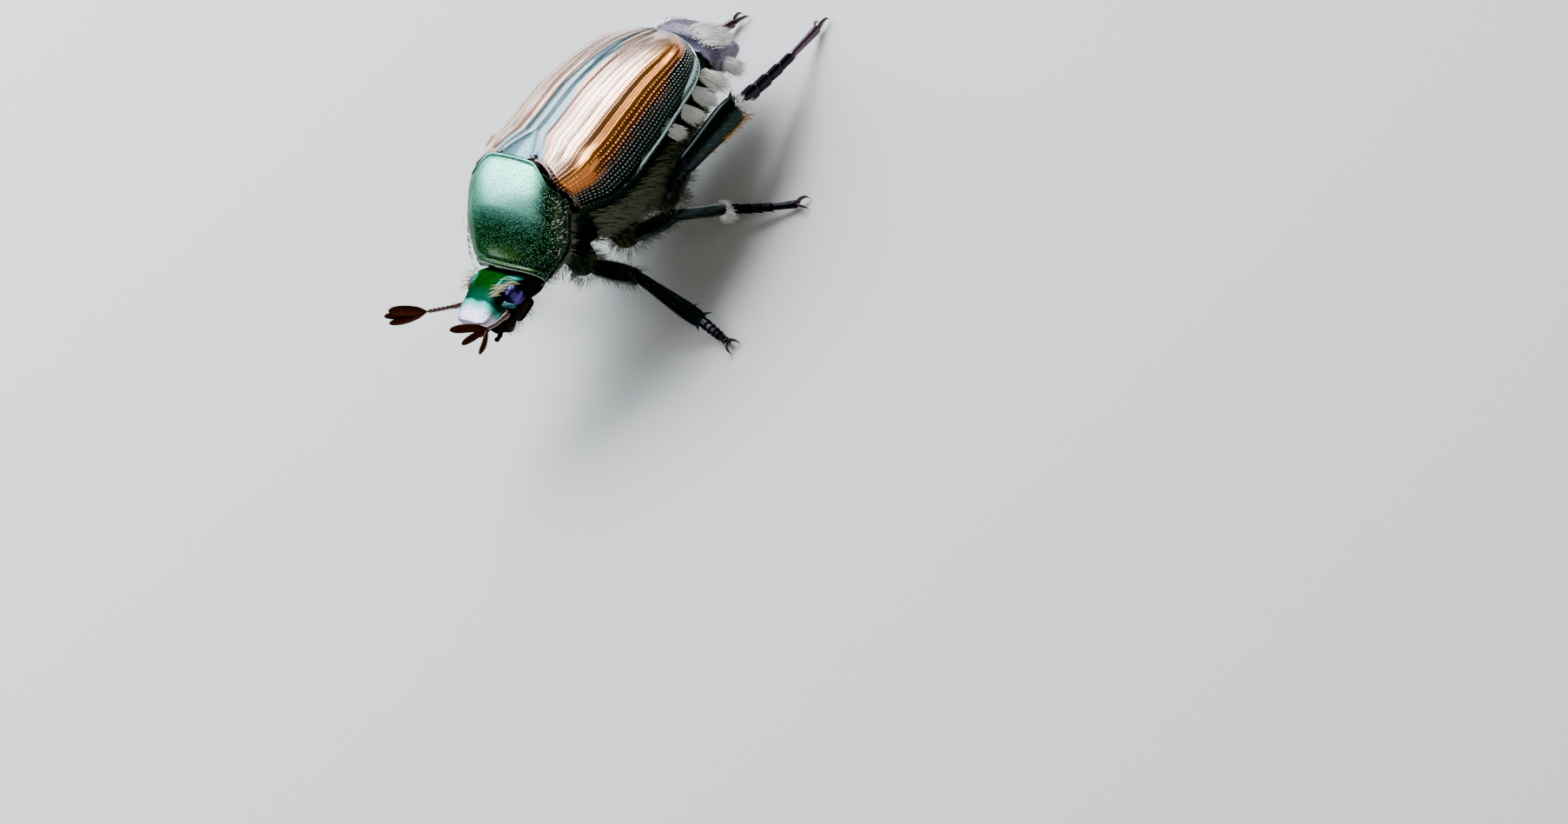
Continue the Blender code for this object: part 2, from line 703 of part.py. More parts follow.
def build_tarsus(name, start, end, plane):
    """Five beaded foot joints; the last one rests on a flat sole."""
    profile = [(0, TARSUS_WAIST, TARSUS_WAIST)]
    ends = spread(0.0, 0.72, 5)
    for i in range(1, 5):
        profile.append((ends[i] - 0.05, TARSUS_RADIUS, TARSUS_RADIUS))
        profile.append((ends[i] + 0.01, TARSUS_WAIST, TARSUS_WAIST))
    profile.append((0.96, TARSUS_RADIUS * 0.95, TARSUS_RADIUS * 0.9))
    profile.append((1, TARSUS_WAIST * 0.8, TARSUS_WAIST * 0.7))
    run = (end - start).normalized()
    rings = limb(start, end, profile, Vector((0, 0, 1)), plane, run, sides=8, sag=TARSUS_SAG)
    for ring in rings:
        for point in ring:
            point.z = max(point.z, 0.0)
    tarsus = finish(loft(rings, name), name, VIOLET_BLACK)
    fuse(tarsus, [claw(end, run, way) for way in (-1, 1)])


def claw(toe, run, way):
    """One of the two hooked claws, which come down to the floor ahead of the foot."""
    ahead = Vector((run.x, run.y, 0)).normalized()
    aside = Vector((-ahead.y, ahead.x, 0)) * way
    path = [
        toe - ahead * 0.18 + aside * 0.05,
        toe + ahead * (CLAW_LENGTH * 0.3) + aside * (CLAW_SPREAD * 0.8) + Vector((0, 0, 0.03)),
        toe + ahead * (CLAW_LENGTH * 0.7) + aside * CLAW_SPREAD - Vector((0, 0, 0.08)),
        toe + ahead * CLAW_LENGTH + aside * CLAW_SPREAD,
    ]
    path[-1].z = 0.02
    radii = [CLAW_RADIUS * share for share in (1.0, 1.0, 0.7)]
    return blade(path, radii, radii, aside, 5, "claw")


def tube(name, points, radii):
    """A tapered round piece along the points, as a closed mesh."""
    curve = bpy.data.curves.new(name, "CURVE")
    curve.dimensions = "3D"
    curve.bevel_depth = MM
    curve.bevel_resolution = 2
    curve.use_fill_caps = True
    spline = curve.splines.new("POLY")
    spline.points.add(len(points) - 1)
    for knot, point, radius in zip(spline.points, points, radii):
        knot.co = (*(point * MM), 1)
        knot.radius = radius
    guide = bpy.data.objects.new(name, curve)
    bpy.context.scene.collection.objects.link(guide)
    bpy.context.view_layer.update()
    graph = bpy.context.evaluated_depsgraph_get()
    mesh = bpy.data.meshes.new_from_object(guide.evaluated_get(graph))
    bpy.data.objects.remove(guide, do_unlink=True)
    bm = bmesh.new()
    bm.from_mesh(mesh)
    bmesh.ops.remove_doubles(bm, verts=bm.verts, dist=1e-7)
    bmesh.ops.recalc_face_normals(bm, faces=bm.faces)
    bm.to_mesh(mesh)
    bm.free()
    return mesh


def leaf(root, tip, broad):
    """One leaf of a feeler's club: a flat blade, broadest beyond its middle."""
    path = [root.lerp(tip, share) for share in (0.0, 0.35, 0.75, 0.93, 1.0)]
    widths = [LAMELLA_HALF_WIDTH * share for share in (0.65, 0.95, 1.0, 0.65)]
    depths = [LAMELLA_HALF_THICKNESS * share for share in (0.9, 1.0, 0.9, 0.6)]
    return blade(path, widths, depths, broad, 6, "leaf")


def build_antenna(side):
    """A stalk from the side of the head and a club of three leaves."""
    sign = 1 if side == "left" else -1
    club = LEFT_CLUB if sign > 0 else RIGHT_CLUB
    tips = LEFT_LAMELLA_TIPS if sign > 0 else RIGHT_LAMELLA_TIPS
    root, elbow = mirrored(ANTENNA_ROOT, sign), mirrored(ANTENNA_ELBOW, sign)
    stop = club - (tips[1] - club).normalized() * GAP
    points = [to_floor(point) for point in (root, elbow, elbow.lerp(stop, 0.5), stop)]
    radii = [STALK_RADIUS * share for share in (1.0, 0.95, 0.85, 1.0)]
    finish(tube("stalk", points, radii), f"antenna_{side}_stalk", BROWN)

    flat = turned((tips[1] - club).cross(tips[0] - tips[2]))
    leaves = [leaf(to_floor(club), to_floor(tip), flat) for tip in tips]
    head = finish(leaves.pop(1), f"antenna_{side}_club", BROWN)
    fuse(head, leaves)


def build_palp(side):
    """A jointed mouth feeler."""
    sign = 1 if side == "left" else -1
    root, tip = mirrored(PALP_ROOT, sign), mirrored(PALP_TIP, sign)
    points = [to_floor(root.lerp(tip, share)) for share in (0.0, 0.4, 0.8, 1.0)]
    finish(tube("palp", points, (0.24, 0.25, 0.22, 0.12)), f"palp_{side}", BROWN)


def centre_on_floor(collection):
    """Shift every piece so that the middle of the beetle's footprint box is at the origin."""
    bpy.context.view_layer.update()
    graph = bpy.context.evaluated_depsgraph_get()
    corners = []
    for obj in collection.objects:
        mesh = obj.evaluated_get(graph).to_mesh()
        corners.extend(vert.co.copy() for vert in mesh.vertices)
    low = [min(corner[i] for corner in corners) for i in range(3)]
    high = [max(corner[i] for corner in corners) for i in range(3)]
    shift = Vector((-(low[0] + high[0]) / 2, -(low[1] + high[1]) / 2, -low[2]))
    stand = bpy.data.objects.new("beetle", None)
    stand.location = shift
    bpy.context.scene.collection.objects.link(stand)
    for obj in collection.objects:
        obj.parent = stand


def main():
    """Build the whole beetle."""
    clear_scene()
    collection = bpy.data.collections.new("japanese_beetle")
    bpy.context.scene.collection.children.link(collection)
    build_pronotum()
    build_oval_body("head", HEAD, HEAD_ROUNDNESS, 2.2, 8, 16, GREEN)
    build_oval_body("mouthparts", MOUTH, 2.2, 2.2, 5, 12, BROWN)
    build_scutellum()
    build_thorax()
    build_abdomen()
    build_pygidium()
    for side in ("left", "right"):
        build_elytron(side)
        build_eye(side)
        build_antenna(side)
        build_palp(side)
        for pair in LEGS:
            build_leg(pair, side)
    centre_on_floor(collection)


main()
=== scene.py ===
"""Japanese beetle at life size: its surfaces, hair and studio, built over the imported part.

Sizes are in millimetres. Body sizes are in the body's own frame, where y runs back from the
tip of the scutellum and z up from the breast, and Stance puts them on the floor. The head
faces -Y, +X is the beetle's left and +Z is up.
"""

from __future__ import annotations

import logging
import math
from collections.abc import Callable
from dataclasses import dataclass, field
from enum import Enum

import bpy
import numpy as np
from mathutils import Matrix, Vector

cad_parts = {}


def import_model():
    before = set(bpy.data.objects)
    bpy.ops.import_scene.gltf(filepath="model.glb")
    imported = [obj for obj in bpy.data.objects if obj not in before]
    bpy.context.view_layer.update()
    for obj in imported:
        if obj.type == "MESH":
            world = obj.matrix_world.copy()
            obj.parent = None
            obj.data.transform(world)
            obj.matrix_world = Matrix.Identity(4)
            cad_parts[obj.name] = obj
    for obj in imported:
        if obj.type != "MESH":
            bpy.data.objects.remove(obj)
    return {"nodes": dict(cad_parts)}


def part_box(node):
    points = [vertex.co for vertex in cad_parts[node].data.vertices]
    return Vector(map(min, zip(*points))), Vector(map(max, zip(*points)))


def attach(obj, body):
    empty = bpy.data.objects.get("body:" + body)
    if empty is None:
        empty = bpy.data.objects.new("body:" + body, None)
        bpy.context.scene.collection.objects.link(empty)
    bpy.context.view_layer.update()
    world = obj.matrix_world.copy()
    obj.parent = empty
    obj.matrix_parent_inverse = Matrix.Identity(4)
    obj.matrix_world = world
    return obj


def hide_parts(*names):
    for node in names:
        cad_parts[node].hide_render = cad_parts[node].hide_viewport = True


LOG = logging.getLogger("japanese_beetle")
MM = 0.001
METRE = 1000.0  # in millimetres
Row = tuple[float, ...]


class Side(Enum):
    """The two sides of the body, with the sign of x on each."""

    LEFT = 1
    RIGHT = -1

    @property
    def tag(self) -> str:
        """The side's word in the names of nodes and pieces."""
        return self.name.lower()


class Stations:
    """Rows of sizes along the body, read between them by a smooth curve without overshoot."""

    def __init__(self, rows: tuple[Row, ...]) -> None:
        """Keep the rows and the slopes between them.

        Args:
            rows: a place along the body, then the sizes there.
        """
        table = np.array(sorted(rows), dtype=float).T
        self.at, self.values = table[0], table[1:]
        self.spans = np.diff(self.at)
        slopes = np.diff(self.values) / self.spans
        before, after = slopes[:, :-1], slopes[:, 1:]
        same_way = before * after > 0
        total = np.where(same_way, before + after, 1.0)
        self.tangents = np.concatenate([slopes[:, :1], slopes], axis=1)
        self.tangents[:, 1:-1] = np.where(same_way, 2 * before * after / total, 0.0)

    def __call__(self, place: np.ndarray | float) -> np.ndarray:
        """Sizes at each place.

        Args:
            place: places along the body; past the ends the sizes go on in a straight line.

        Returns:
            An array with one row for each size.
        """
        place = np.asarray(place, dtype=float)
        inside = np.clip(place, self.at[0], self.at[-1])
        i = np.clip(np.searchsorted(self.at, inside, side="right") - 1, 0, len(self.spans) - 1)
        t = (inside - self.at[i]) / self.spans[i]
        start, end = self.values[:, i], self.values[:, i + 1]
        leave, reach = self.tangents[:, i] * self.spans[i], self.tangents[:, i + 1] * self.spans[i]
        value = (1 + 2 * t) * (1 - t) ** 2 * start + t * (1 - t) ** 2 * leave
        value = value + t * t * (3 - 2 * t) * end - t * t * (1 - t) * reach
        slope = np.where(place < self.at[0], self.tangents[:, i], self.tangents[:, i + 1])
        return value + slope * (place - inside)


def power(value: np.ndarray, exponent: float) -> np.ndarray:
    """The value to the power, with its sign kept."""
    return np.sign(value) * np.abs(value) ** exponent


def bump_at(value: np.ndarray, centre: float, reach: float) -> np.ndarray:
    """A smooth hump, 1 at the centre and nothing at about twice the reach."""
    return np.exp(-(((value - centre) / reach) ** 2))


def step_at(value: np.ndarray, start: float, end: float) -> np.ndarray:
    """A smooth rise from 0 at start to 1 at end."""
    t = np.clip((value - start) / (end - start), 0.0, 1.0)
    return t * t * (3 - 2 * t)


def unit(vectors: np.ndarray) -> np.ndarray:
    """Each vector at length 1."""
    return vectors / np.maximum(np.linalg.norm(vectors, axis=-1, keepdims=True), 1e-9)


def round_off(t: np.ndarray, exponent: int, least: float) -> np.ndarray:
    """A share of the full size that falls from 1 to the least one as t nears 1 or -1."""
    return np.sqrt(np.clip(1 - t**exponent, least, 1))


@dataclass(frozen=True)
class Stance:
    """How the body stands over the floor."""

    shift: np.ndarray
    pitch: float = math.radians(8.5)
    ride: float = 0.83

    @classmethod
    def from_frame(cls, rear: float = -1.27, top: float = 4.74) -> Stance:
        """Read the body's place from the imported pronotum.

        Args:
            rear: y of the pronotum's hind edge in the body's frame.
            top: height of that edge.

        Returns:
            The stance that puts the body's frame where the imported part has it.
        """
        low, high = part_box("pronotum")
        pitch = cls.pitch
        edge = rear * math.cos(pitch) + top * math.sin(pitch)
        return cls(np.array([(low.x + high.x) / 2 / MM, high.y / MM - edge, 0.0]))

    def turn(self, directions: np.ndarray) -> np.ndarray:
        """Directions of the body's frame in the floor's frame."""
        directions = np.asarray(directions, dtype=float)
        c, s = math.cos(self.pitch), math.sin(self.pitch)
        return directions @ np.array([[1, 0, 0], [0, c, s], [0, -s, c]]).T

    def place(self, points: np.ndarray) -> np.ndarray:
        """Points of the body's frame in the floor's frame."""
        return self.turn(points) + self.shift + (0, 0, self.ride)

    def stand(self, points: np.ndarray) -> np.ndarray:
        """Points measured on the floor under the body, such as the joints of the legs."""
        return np.asarray(points, dtype=float) + self.shift


class Solid:
    """Collects surfaces in millimetres and makes one mesh of them."""

    def __init__(self) -> None:
        """Start with no surface."""
        self.points: list[np.ndarray] = []
        self.faces: list[np.ndarray] = []
        self.uvs: list[np.ndarray] = []
        self.slots: list[np.ndarray] = []
        self.count = 0

    def add(self, points: np.ndarray, faces: np.ndarray, uv: np.ndarray, slot: int = 0) -> None:
        """Add faces with equally many corners.

        Args:
            points: corner points.
            faces: indices into them, one row for each face.
            uv: a place on the map for each corner of each face.
            slot: index of the finish.
        """
        self.points.append(points.reshape(-1, 3))
        self.faces.append(faces + self.count)
        self.uvs.append(uv.reshape(-1, 2))
        self.slots.append(np.full(len(faces), slot))
        self.count += len(self.points[-1])

    def loft(
        self, rings: np.ndarray, closed: bool = True, slot: int = 0, across: np.ndarray | None = None
    ) -> None:
        """Add a surface through rings of points.

        Args:
            rings: rings, points of a ring, coordinates.
            closed: whether each ring comes round to its start and the ends are closed with a fan.
            slot: index of the finish.
            across: place on the map of each point of a ring, from 0 to 1 if left out.
        """
        rows, columns, _ = rings.shape
        spans = columns if closed else columns - 1
        across = np.linspace(0, 1, spans + 1) if across is None else across
        along = np.linspace(0, 1, rows)
        i, j = np.meshgrid(np.arange(rows - 1), np.arange(spans), indexing="ij")
        corners_i = np.stack([i, i, i + 1, i + 1], -1).reshape(-1, 4)
        corners_j = np.stack([j, j + 1, j + 1, j], -1).reshape(-1, 4)
        uv = np.stack([across[corners_j], along[corners_i]], -1)
        self.add(rings, corners_i * columns + corners_j % columns, uv, slot)
        if not closed:
            return
        for ring, v, turn in ((rings[0], along[0], 1), (rings[-1], along[-1], -1)):
            points = np.concatenate([ring, ring.mean(0, keepdims=True)])
            j = np.arange(columns)
            fan = np.stack([(j + 1) % columns, j, np.full(columns, columns)], -1)[:, ::turn]
            self.add(points, fan, np.full((columns, 3, 2), (across[0], v)), slot)

    def tube(
        self,
        path: np.ndarray,
        broad: np.ndarray | Row,
        half_broad: np.ndarray,
        half_thin: np.ndarray,
        sides: int = 20,
        slot: int = 0,
        squareness: float = 2.0,
    ) -> None:
        """Add a closed piece round a path, with rounded ends.

        Args:
            path: points of its middle line.
            broad: the way its broad side faces, in all or at each point.
            half_broad: half its breadth at each point.
            half_thin: half its thickness at each point.
            sides: points round it.
            slot: index of the finish.
            squareness: exponent of its section, 2 for an ellipse.
        """
        along = unit(np.gradient(path, axis=0))
        across = unit(broad - along * np.sum(along * broad, axis=1, keepdims=True))
        normal = np.cross(along, across)
        angle = 2 * math.pi * np.arange(sides) / sides
        wide = power(np.cos(angle), 2 / squareness)[None, :, None] * across[:, None, :]
        thin = power(np.sin(angle), 2 / squareness)[None, :, None] * normal[:, None, :]
        wide = wide * half_broad[:, None, None]
        self.loft(path[:, None] + wide + thin * half_thin[:, None, None], slot=slot)

    def make(self, name: str, finishes: list[bpy.types.Material], crease: float = 40.0) -> bpy.types.Object:
        """Make the piece.

        Args:
            name: name of the object.
            finishes: its materials, in the order of the slots.
            crease: bends sharper than this many degrees stay crisp.

        Returns:
            The object, in metres.
        """
        points = np.concatenate(self.points) * MM
        mesh = bpy.data.meshes.new(name)
        mesh.from_pydata(points.tolist(), [], [row for rows in self.faces for row in rows.tolist()])
        layer = mesh.uv_layers.new(name="shell")
        layer.data.foreach_set("uv", np.concatenate(self.uvs).astype(np.float32).ravel())
        mesh.polygons.foreach_set("material_index", np.concatenate(self.slots).astype(np.int32))
        for finish in finishes:
            mesh.materials.append(finish)
        mesh.shade_smooth()
        mesh.set_sharp_from_angle(angle=math.radians(crease))
        piece = bpy.data.objects.new(name, mesh)
        bpy.context.scene.collection.objects.link(piece)
        return piece


def curve(points: np.ndarray | tuple[Row, ...], count: int) -> np.ndarray:
    """Points spaced along a smooth curve through the given ones."""
    points = np.array(points, dtype=float)
    spacing = np.linalg.norm(np.diff(points, axis=0), axis=1)
    rows = tuple((place, *point) for place, point in zip(np.append(0, np.cumsum(spacing)), points))
    return Stations(rows)(np.linspace(0, rows[-1][0], count)).T


def ride(piece: bpy.types.Object, slot: str, *nodes: str) -> None:
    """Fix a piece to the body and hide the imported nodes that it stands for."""
    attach(piece, "root")
    if nodes:
        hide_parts(*nodes)
    LOG.info("%s: %d faces", piece.name, len(piece.data.polygons))


# Materials


def linear(colour: str) -> tuple[float, float, float, float]:
    """An sRGB colour such as "#1d3a22" as linear light."""
    values = [int(colour[i : i + 2], 16) / 255 for i in (1, 3, 5)]
    parts = [v / 12.92 if v <= 0.04045 else ((v + 0.055) / 1.055) ** 2.4 for v in values]
    return (*parts, 1.0)


def add_node(tree: bpy.types.NodeTree, kind: str, settings: dict[str | int, object]) -> bpy.types.NodeOutputs:
    """Add a node to a material.

    Args:
        tree: the material's nodes.
        kind: the node's type, without its first word.
        settings: properties by name, or by name or place the value or the link of an input.

    Returns:
        The node's outputs.
    """
    node = tree.nodes.new(f"ShaderNode{kind}")
    for key, value in settings.items():
        if isinstance(value, bpy.types.NodeSocket):
            tree.links.new(value, node.inputs[key])
        elif isinstance(key, str) and hasattr(node, key):
            setattr(node, key, value)
        else:
            node.inputs[key].default_value = value
    return node.outputs


@dataclass(frozen=True)
class Finish:
    """What all finishes share: the shader's own values."""

    name: str
    colour: str
    roughness: float = 0.3
    metallic: float = 0.0
    ior: float = 1.56  # chitin
    coat: float = 0.0
    edge: str = "#ffffff"  # tint of the reflection at a low angle
    coat_roughness: float = 0.12

    def start(self) -> tuple[bpy.types.Material, bpy.types.NodeTree, bpy.types.Node, bpy.types.NodeSocket]:
        """Make the material and set its shader's values.

        Returns:
            The material, its nodes, its shader and the place on the piece.
        """
        material = bpy.data.materials.new(self.name)
        material.use_nodes = True
        tree = material.node_tree
        shader = tree.nodes["Principled BSDF"]
        values = {
            "Base Color": linear(self.colour),
            "Roughness": self.roughness,
            "Metallic": self.metallic,
            "Specular Tint": linear(self.edge),
            "Coat Weight": self.coat,
            "Coat Roughness": self.coat_roughness,
        }
        if self.metallic < 0.5:
            values["IOR"] = self.ior
        for key, value in values.items():
            shader.inputs[key].default_value = value
        return material, tree, shader, add_node(tree, "TexCoord", {})["Object"]


@dataclass(frozen=True)
class PittedCuticle(Finish):
    """Cuticle set with fine round pits. The eye sees a dark sheen with a bright point at each of the pits;
    the pits are painted, darker than the ground as painted shade and paler as a painted glint.
    """

    deep: str = "#0b140d"
    # colour painted into the pits: darker than the ground is painted shade, paler is a painted glint
    pit: str = "#060a08"
    spacing: float = 0.10  # between pits
    depth: float = 0.012
    mottle: float = 1.2  # size of the cloudy changes of colour
    pit_share: float = 0.34  # radius of a pit as a share of the spacing

    def tone(self, tree: bpy.types.NodeTree, place: bpy.types.NodeSocket) -> bpy.types.NodeSocket:
        """The colour between the pits, at the place on the piece."""
        cloud = add_node(tree, "TexNoise", {"Scale": METRE / self.mottle, "Detail": 3.0, "Vector": place})[0]
        mix = {"data_type": "RGBA", 0: cloud, 6: linear(self.colour), 7: linear(self.deep)}
        return add_node(tree, "Mix", mix)[2]

    def make(self) -> bpy.types.Material:
        """Make the material."""
        material, tree, shader, place = self.start()
        pits = add_node(tree, "TexVoronoi", {"Scale": METRE / self.spacing, "Vector": place})[0]
        edge = {"From Min": 0.2 * self.pit_share, "From Max": self.pit_share, "Value": pits}
        bowl = add_node(tree, "MapRange", {"interpolation_type": "SMOOTHSTEP", **edge})[0]
        # each of the pits takes its painted shade and glint colour
        mix = {"data_type": "RGBA", 0: bowl, 6: linear(self.pit), 7: self.tone(tree, place)}
        tree.links.new(add_node(tree, "Mix", mix)[2], shader.inputs["Base Color"])
        relief = add_node(tree, "Bump", {"Strength": 0.8, "Distance": self.depth * MM, "Height": bowl})[0]
        tree.links.new(relief, shader.inputs["Normal"])
        return material


@dataclass(frozen=True)
class ZonedCuticle(PittedCuticle):
    """Pitted cuticle of several colours, some of them a painted highlight and some painted shade. The eye
    sees them turn into each other over the plate.
    """

    middle: float = 0.25  # the map's u along the middle of the back
    waver: float = 0.0  # how far the bounds between the colours waver along the plate
    # a colour, then the stretches in which it comes in: across or along, its start and end, its kind of rise
    zones: tuple[tuple[str | tuple[str, float, float, str], ...], ...] = ()

    def tone(self, tree: bpy.types.NodeTree, place: bpy.types.NodeSocket) -> bpy.types.NodeSocket:
        """The colour between the pits: the map's u runs across the plate and v along it."""
        colour = super().tone(tree, place)
        mapped = add_node(tree, "SeparateXYZ", {0: add_node(tree, "UVMap", {"uv_map": "shell"})[0]})
        waver = add_node(tree, "TexNoise", {"Scale": 2500.0, "Vector": place})[0]
        shift = {"operation": "MULTIPLY_ADD", 0: waver, 1: self.waver, 2: -self.waver / 2}
        shift = add_node(tree, "Math", shift)[0]
        aside = add_node(tree, "Math", {"operation": "SUBTRACT", 0: mapped[0], 1: self.middle})[0]
        known = {
            "along": add_node(tree, "Math", {"operation": "ADD", 0: mapped[1], 1: shift})[0],
            "across": add_node(tree, "Math", {"operation": "ABSOLUTE", 0: aside})[0],
        }
        for shade, *stretches in self.zones:
            share = 1.0
            for value, start, end, rise in stretches:
                ramp = {"interpolation_type": rise, "From Min": start, "From Max": end, "Value": known[value]}
                ramp = add_node(tree, "MapRange", ramp)[0]
                share = add_node(tree, "Math", {"operation": "MULTIPLY", 0: ramp, 1: share})[0]
            mix = {"data_type": "RGBA", 0: share, 6: colour, 7: linear(shade)}
            colour = add_node(tree, "Mix", mix)[2]
        return colour


@dataclass(frozen=True)
class WingCaseCuticle(Finish):
    """Smooth coppery cuticle with punctured lines. The eye sees copper that turns to black green outside; a
    pale pink band over the middle and a pale rim at the margin are a painted highlight, and the punctures
    carry painted shade and glints.
    """

    rows: float = 17.0
    side_rows: float = 8.0  # that many more to the full width, outside the copper
    length: float = 5.9
    width: float = 4.3
    spacing: float = 0.10  # between the punctures of a line
    puncture: float = 0.036  # radius
    depth: float = 0.012
    # share of the way from the seam to the margin, the ground's colour and the punctures'; the pale ground at
    # 0.26 and 0.40 and the pale rim at the margin are a painted highlight, the punctures painted darker as
    # painted shade out to 0.48 and paler as painted glints beyond
    tones: tuple[tuple[float, str, str], ...] = (
        (0.0, "#2c4c58", "#1c3238"),
        (0.05, "#3a5c62", "#1c3238"),
        (0.085, "#94603c", "#5c3218"),
        # painted highlight: pale pink and peach ground
        (0.26, "#e8c4b0", "#8a5430"),
        (0.40, "#e0a878", "#8a5028"),
        (0.48, "#d08438", "#8a4c20"),
        # from here out the punctures are paler, as painted glints
        (0.58, "#dc7a1a", "#e0a85c"),
        (0.70, "#b8560c", "#d0b884"),
        (0.76, "#2c1a0c", "#c4d0ca"),
        (0.84, "#0a1410", "#c4d0ca"),
        (0.968, "#0a1410", "#4a5c58"),
        # painted highlight: the pale rim
        (0.978, "#b4ccc8", "#b4ccc8"),
        (1.0, "#b4ccc8", "#b4ccc8"),
    )
    tip: str = "#2a5450"  # at the rear end
    front: str = "#5c4c42"  # along the front edge
    side_coat: float = 0.1  # gloss outside the copper
    side_start: float = 0.70  # share of the way to the margin where the lines draw together

    def lines(self) -> tuple[tuple[str | float, ...], ...]:
        """The sums that lay out the punctures and the colours: a name, an operation and its terms.

        Groove is the strength of a puncture, apart its distance from a point of the case, and reach
        the share of the way to the margin that picks the colour.
        """
        pitch = self.width / self.rows
        return (
            ("outer", "SUBTRACT", "u", self.side_start),
            ("outer", "MAXIMUM", "outer", 0.0),
            ("outer", "MULTIPLY", "outer", self.side_rows),
            ("line", "MULTIPLY_ADD", "u", self.rows, "outer"),
            ("line", "MULTIPLY_ADD", "stray", 0.22, "line"),
            ("row", "FLOOR", "line"),
            ("shift", "MULTIPLY_ADD", "cloud", 1.6, "stray"),
            ("beat", "MULTIPLY_ADD", "v", self.length / self.spacing, "shift"),
            ("beat", "MULTIPLY_ADD", "row", 0.37, "beat"),
            ("aside", "FRACT", "line"),
            ("aside", "SUBTRACT", "aside", 0.5),
            ("near", "GREATER_THAN", "outer", 0.0),
            ("pitch", "MULTIPLY_ADD", "near", self.width / (self.rows + self.side_rows) - pitch, pitch),
            ("aside", "MULTIPLY", "aside", "pitch"),
            ("ahead", "FRACT", "beat"),
            ("ahead", "SUBTRACT", "ahead", 0.5),
            ("ahead", "MULTIPLY", "ahead", self.spacing),
            ("groove", "ABSOLUTE", "aside"),
            ("groove", "MULTIPLY_ADD", "groove", 14.0, 0.45),
            ("groove", "MULTIPLY_ADD", "outer", 20.0, "groove"),
            ("groove", "MINIMUM", "groove", 1.0),
            ("aside", "POWER", "aside", 2.0),
            ("ahead", "POWER", "ahead", 2.0),
            ("apart", "ADD", "aside", "ahead"),
            ("apart", "SQRT", "apart"),
            ("waver", "SUBTRACT", "cloud", 0.5),
            ("reach", "MULTIPLY_ADD", "waver", 0.14, "u"),
            ("front", "SUBTRACT", "v", 0.36),
            ("front", "MINIMUM", "front", 0.0),
            ("reach", "MULTIPLY_ADD", "front", 0.22, "reach"),
            ("rear", "SUBTRACT", "v", 0.66),
            ("rear", "MAXIMUM", "rear", 0.0),
            ("reach", "MULTIPLY_ADD", "rear", 0.30, "reach"),
        )

    def make(self) -> bpy.types.Material:
        """Make the material: the map's u runs from the seam to the margin and v along the case."""
        material, tree, shader, place = self.start()
        mapped = add_node(tree, "SeparateXYZ", {0: add_node(tree, "UVMap", {"uv_map": "shell"})[0]})
        known = {"u": mapped[0], "v": mapped[1]}
        for name, scale, detail in (("cloud", 900.0, 4.0), ("stray", 3600.0, 1.0), ("grain", 7000.0, 3.0)):
            known[name] = add_node(tree, "TexNoise", {"Scale": scale, "Detail": detail, "Vector": place})[0]
        for name, operation, *terms in self.lines():
            feed = {i: known.get(term, term) for i, term in enumerate(terms)}
            known[name] = add_node(tree, "Math", {"operation": operation, **feed})[0]
        ramps = {
            "bowl": ("apart", self.puncture * 0.3, self.puncture),
            "tip": ("v", 0.94, 0.985),
            "base": ("v", 0.022, 0.014),
        }
        for name, (value, start, end) in ramps.items():
            edge = {"From Min": start, "From Max": end, "Value": known[value]}
            known[name] = add_node(tree, "MapRange", {"interpolation_type": "SMOOTHSTEP", **edge})[0]
        bowl = add_node(tree, "Math", {"operation": "MULTIPLY", 0: known["bowl"], 1: known["groove"]})[0]
        colours = []
        for column in (1, 2):
            tone = add_node(tree, "ValToRGB", {0: known["reach"]})[0]
            stops = tone.node.color_ramp.elements
            for i, stop in enumerate(self.tones):
                element = stops[i] if i < 2 else stops.new(stop[0])
                element.position = stop[0]
                element.color = linear(stop[column])
            colours.append(tone)
        # plain carries the ground with its painted highlight, punctured the punctures' painted shade and
        # glints
        plain, punctured = colours
        for share, shade in ((known["tip"], self.tip), (known["base"], self.front)):
            mix = {"data_type": "RGBA", 0: share, 6: plain, 7: linear(shade)}
            plain = add_node(tree, "Mix", mix)[2]
        shade = add_node(tree, "Mix", {"data_type": "RGBA", 0: bowl, 6: punctured, 7: plain})[2]
        tree.links.new(shade, shader.inputs["Base Color"])
        dull = {"From Min": 0.66, "From Max": 0.80, "To Min": self.coat, "To Max": self.side_coat}
        dull = add_node(tree, "MapRange", {**dull, "Value": known["reach"]})[0]
        tree.links.new(dull, shader.inputs["Coat Weight"])
        bump = {"Strength": 0.35, "Distance": 0.006 * MM, "Height": known["grain"]}
        fine = add_node(tree, "Bump", bump)[0]
        bump = {"Strength": 1.0, "Distance": self.depth * MM, "Height": bowl, "Normal": fine}
        tree.links.new(add_node(tree, "Bump", bump)[0], shader.inputs["Normal"])
        return material


@dataclass(frozen=True)
class HairKeratin(Finish):
    """Fine hair. The eye sees pale threads, some a little darker."""

    second: str = "#d8d4c4"
    cloud: float = 1 / 6  # size of the changes of colour

    def make(self) -> bpy.types.Material:
        """Make the material."""
        material, tree, shader, place = self.start()
        cloud = add_node(tree, "TexNoise", {"Scale": METRE / self.cloud, "Detail": 2.0, "Vector": place})[0]
        mix = {"data_type": "RGBA", 0: cloud, 6: linear(self.colour), 7: linear(self.second)}
        tree.links.new(add_node(tree, "Mix", mix)[2], shader.inputs["Base Color"])
        return material


@dataclass(frozen=True)
class FacetedEye(Finish):
    """A compound eye's lenses. The eye sees a violet gloss, finely grained."""

    facet: float = 0.03
    depth: float = 0.006

    def make(self) -> bpy.types.Material:
        """Make the material."""
        material, tree, shader, place = self.start()
        facets = add_node(tree, "TexVoronoi", {"Scale": METRE / self.facet, "Vector": place})[0]
        bump = {"invert": True, "Strength": 0.4, "Distance": self.depth * MM, "Height": facets}
        tree.links.new(add_node(tree, "Bump", bump)[0], shader.inputs["Normal"])
        return material


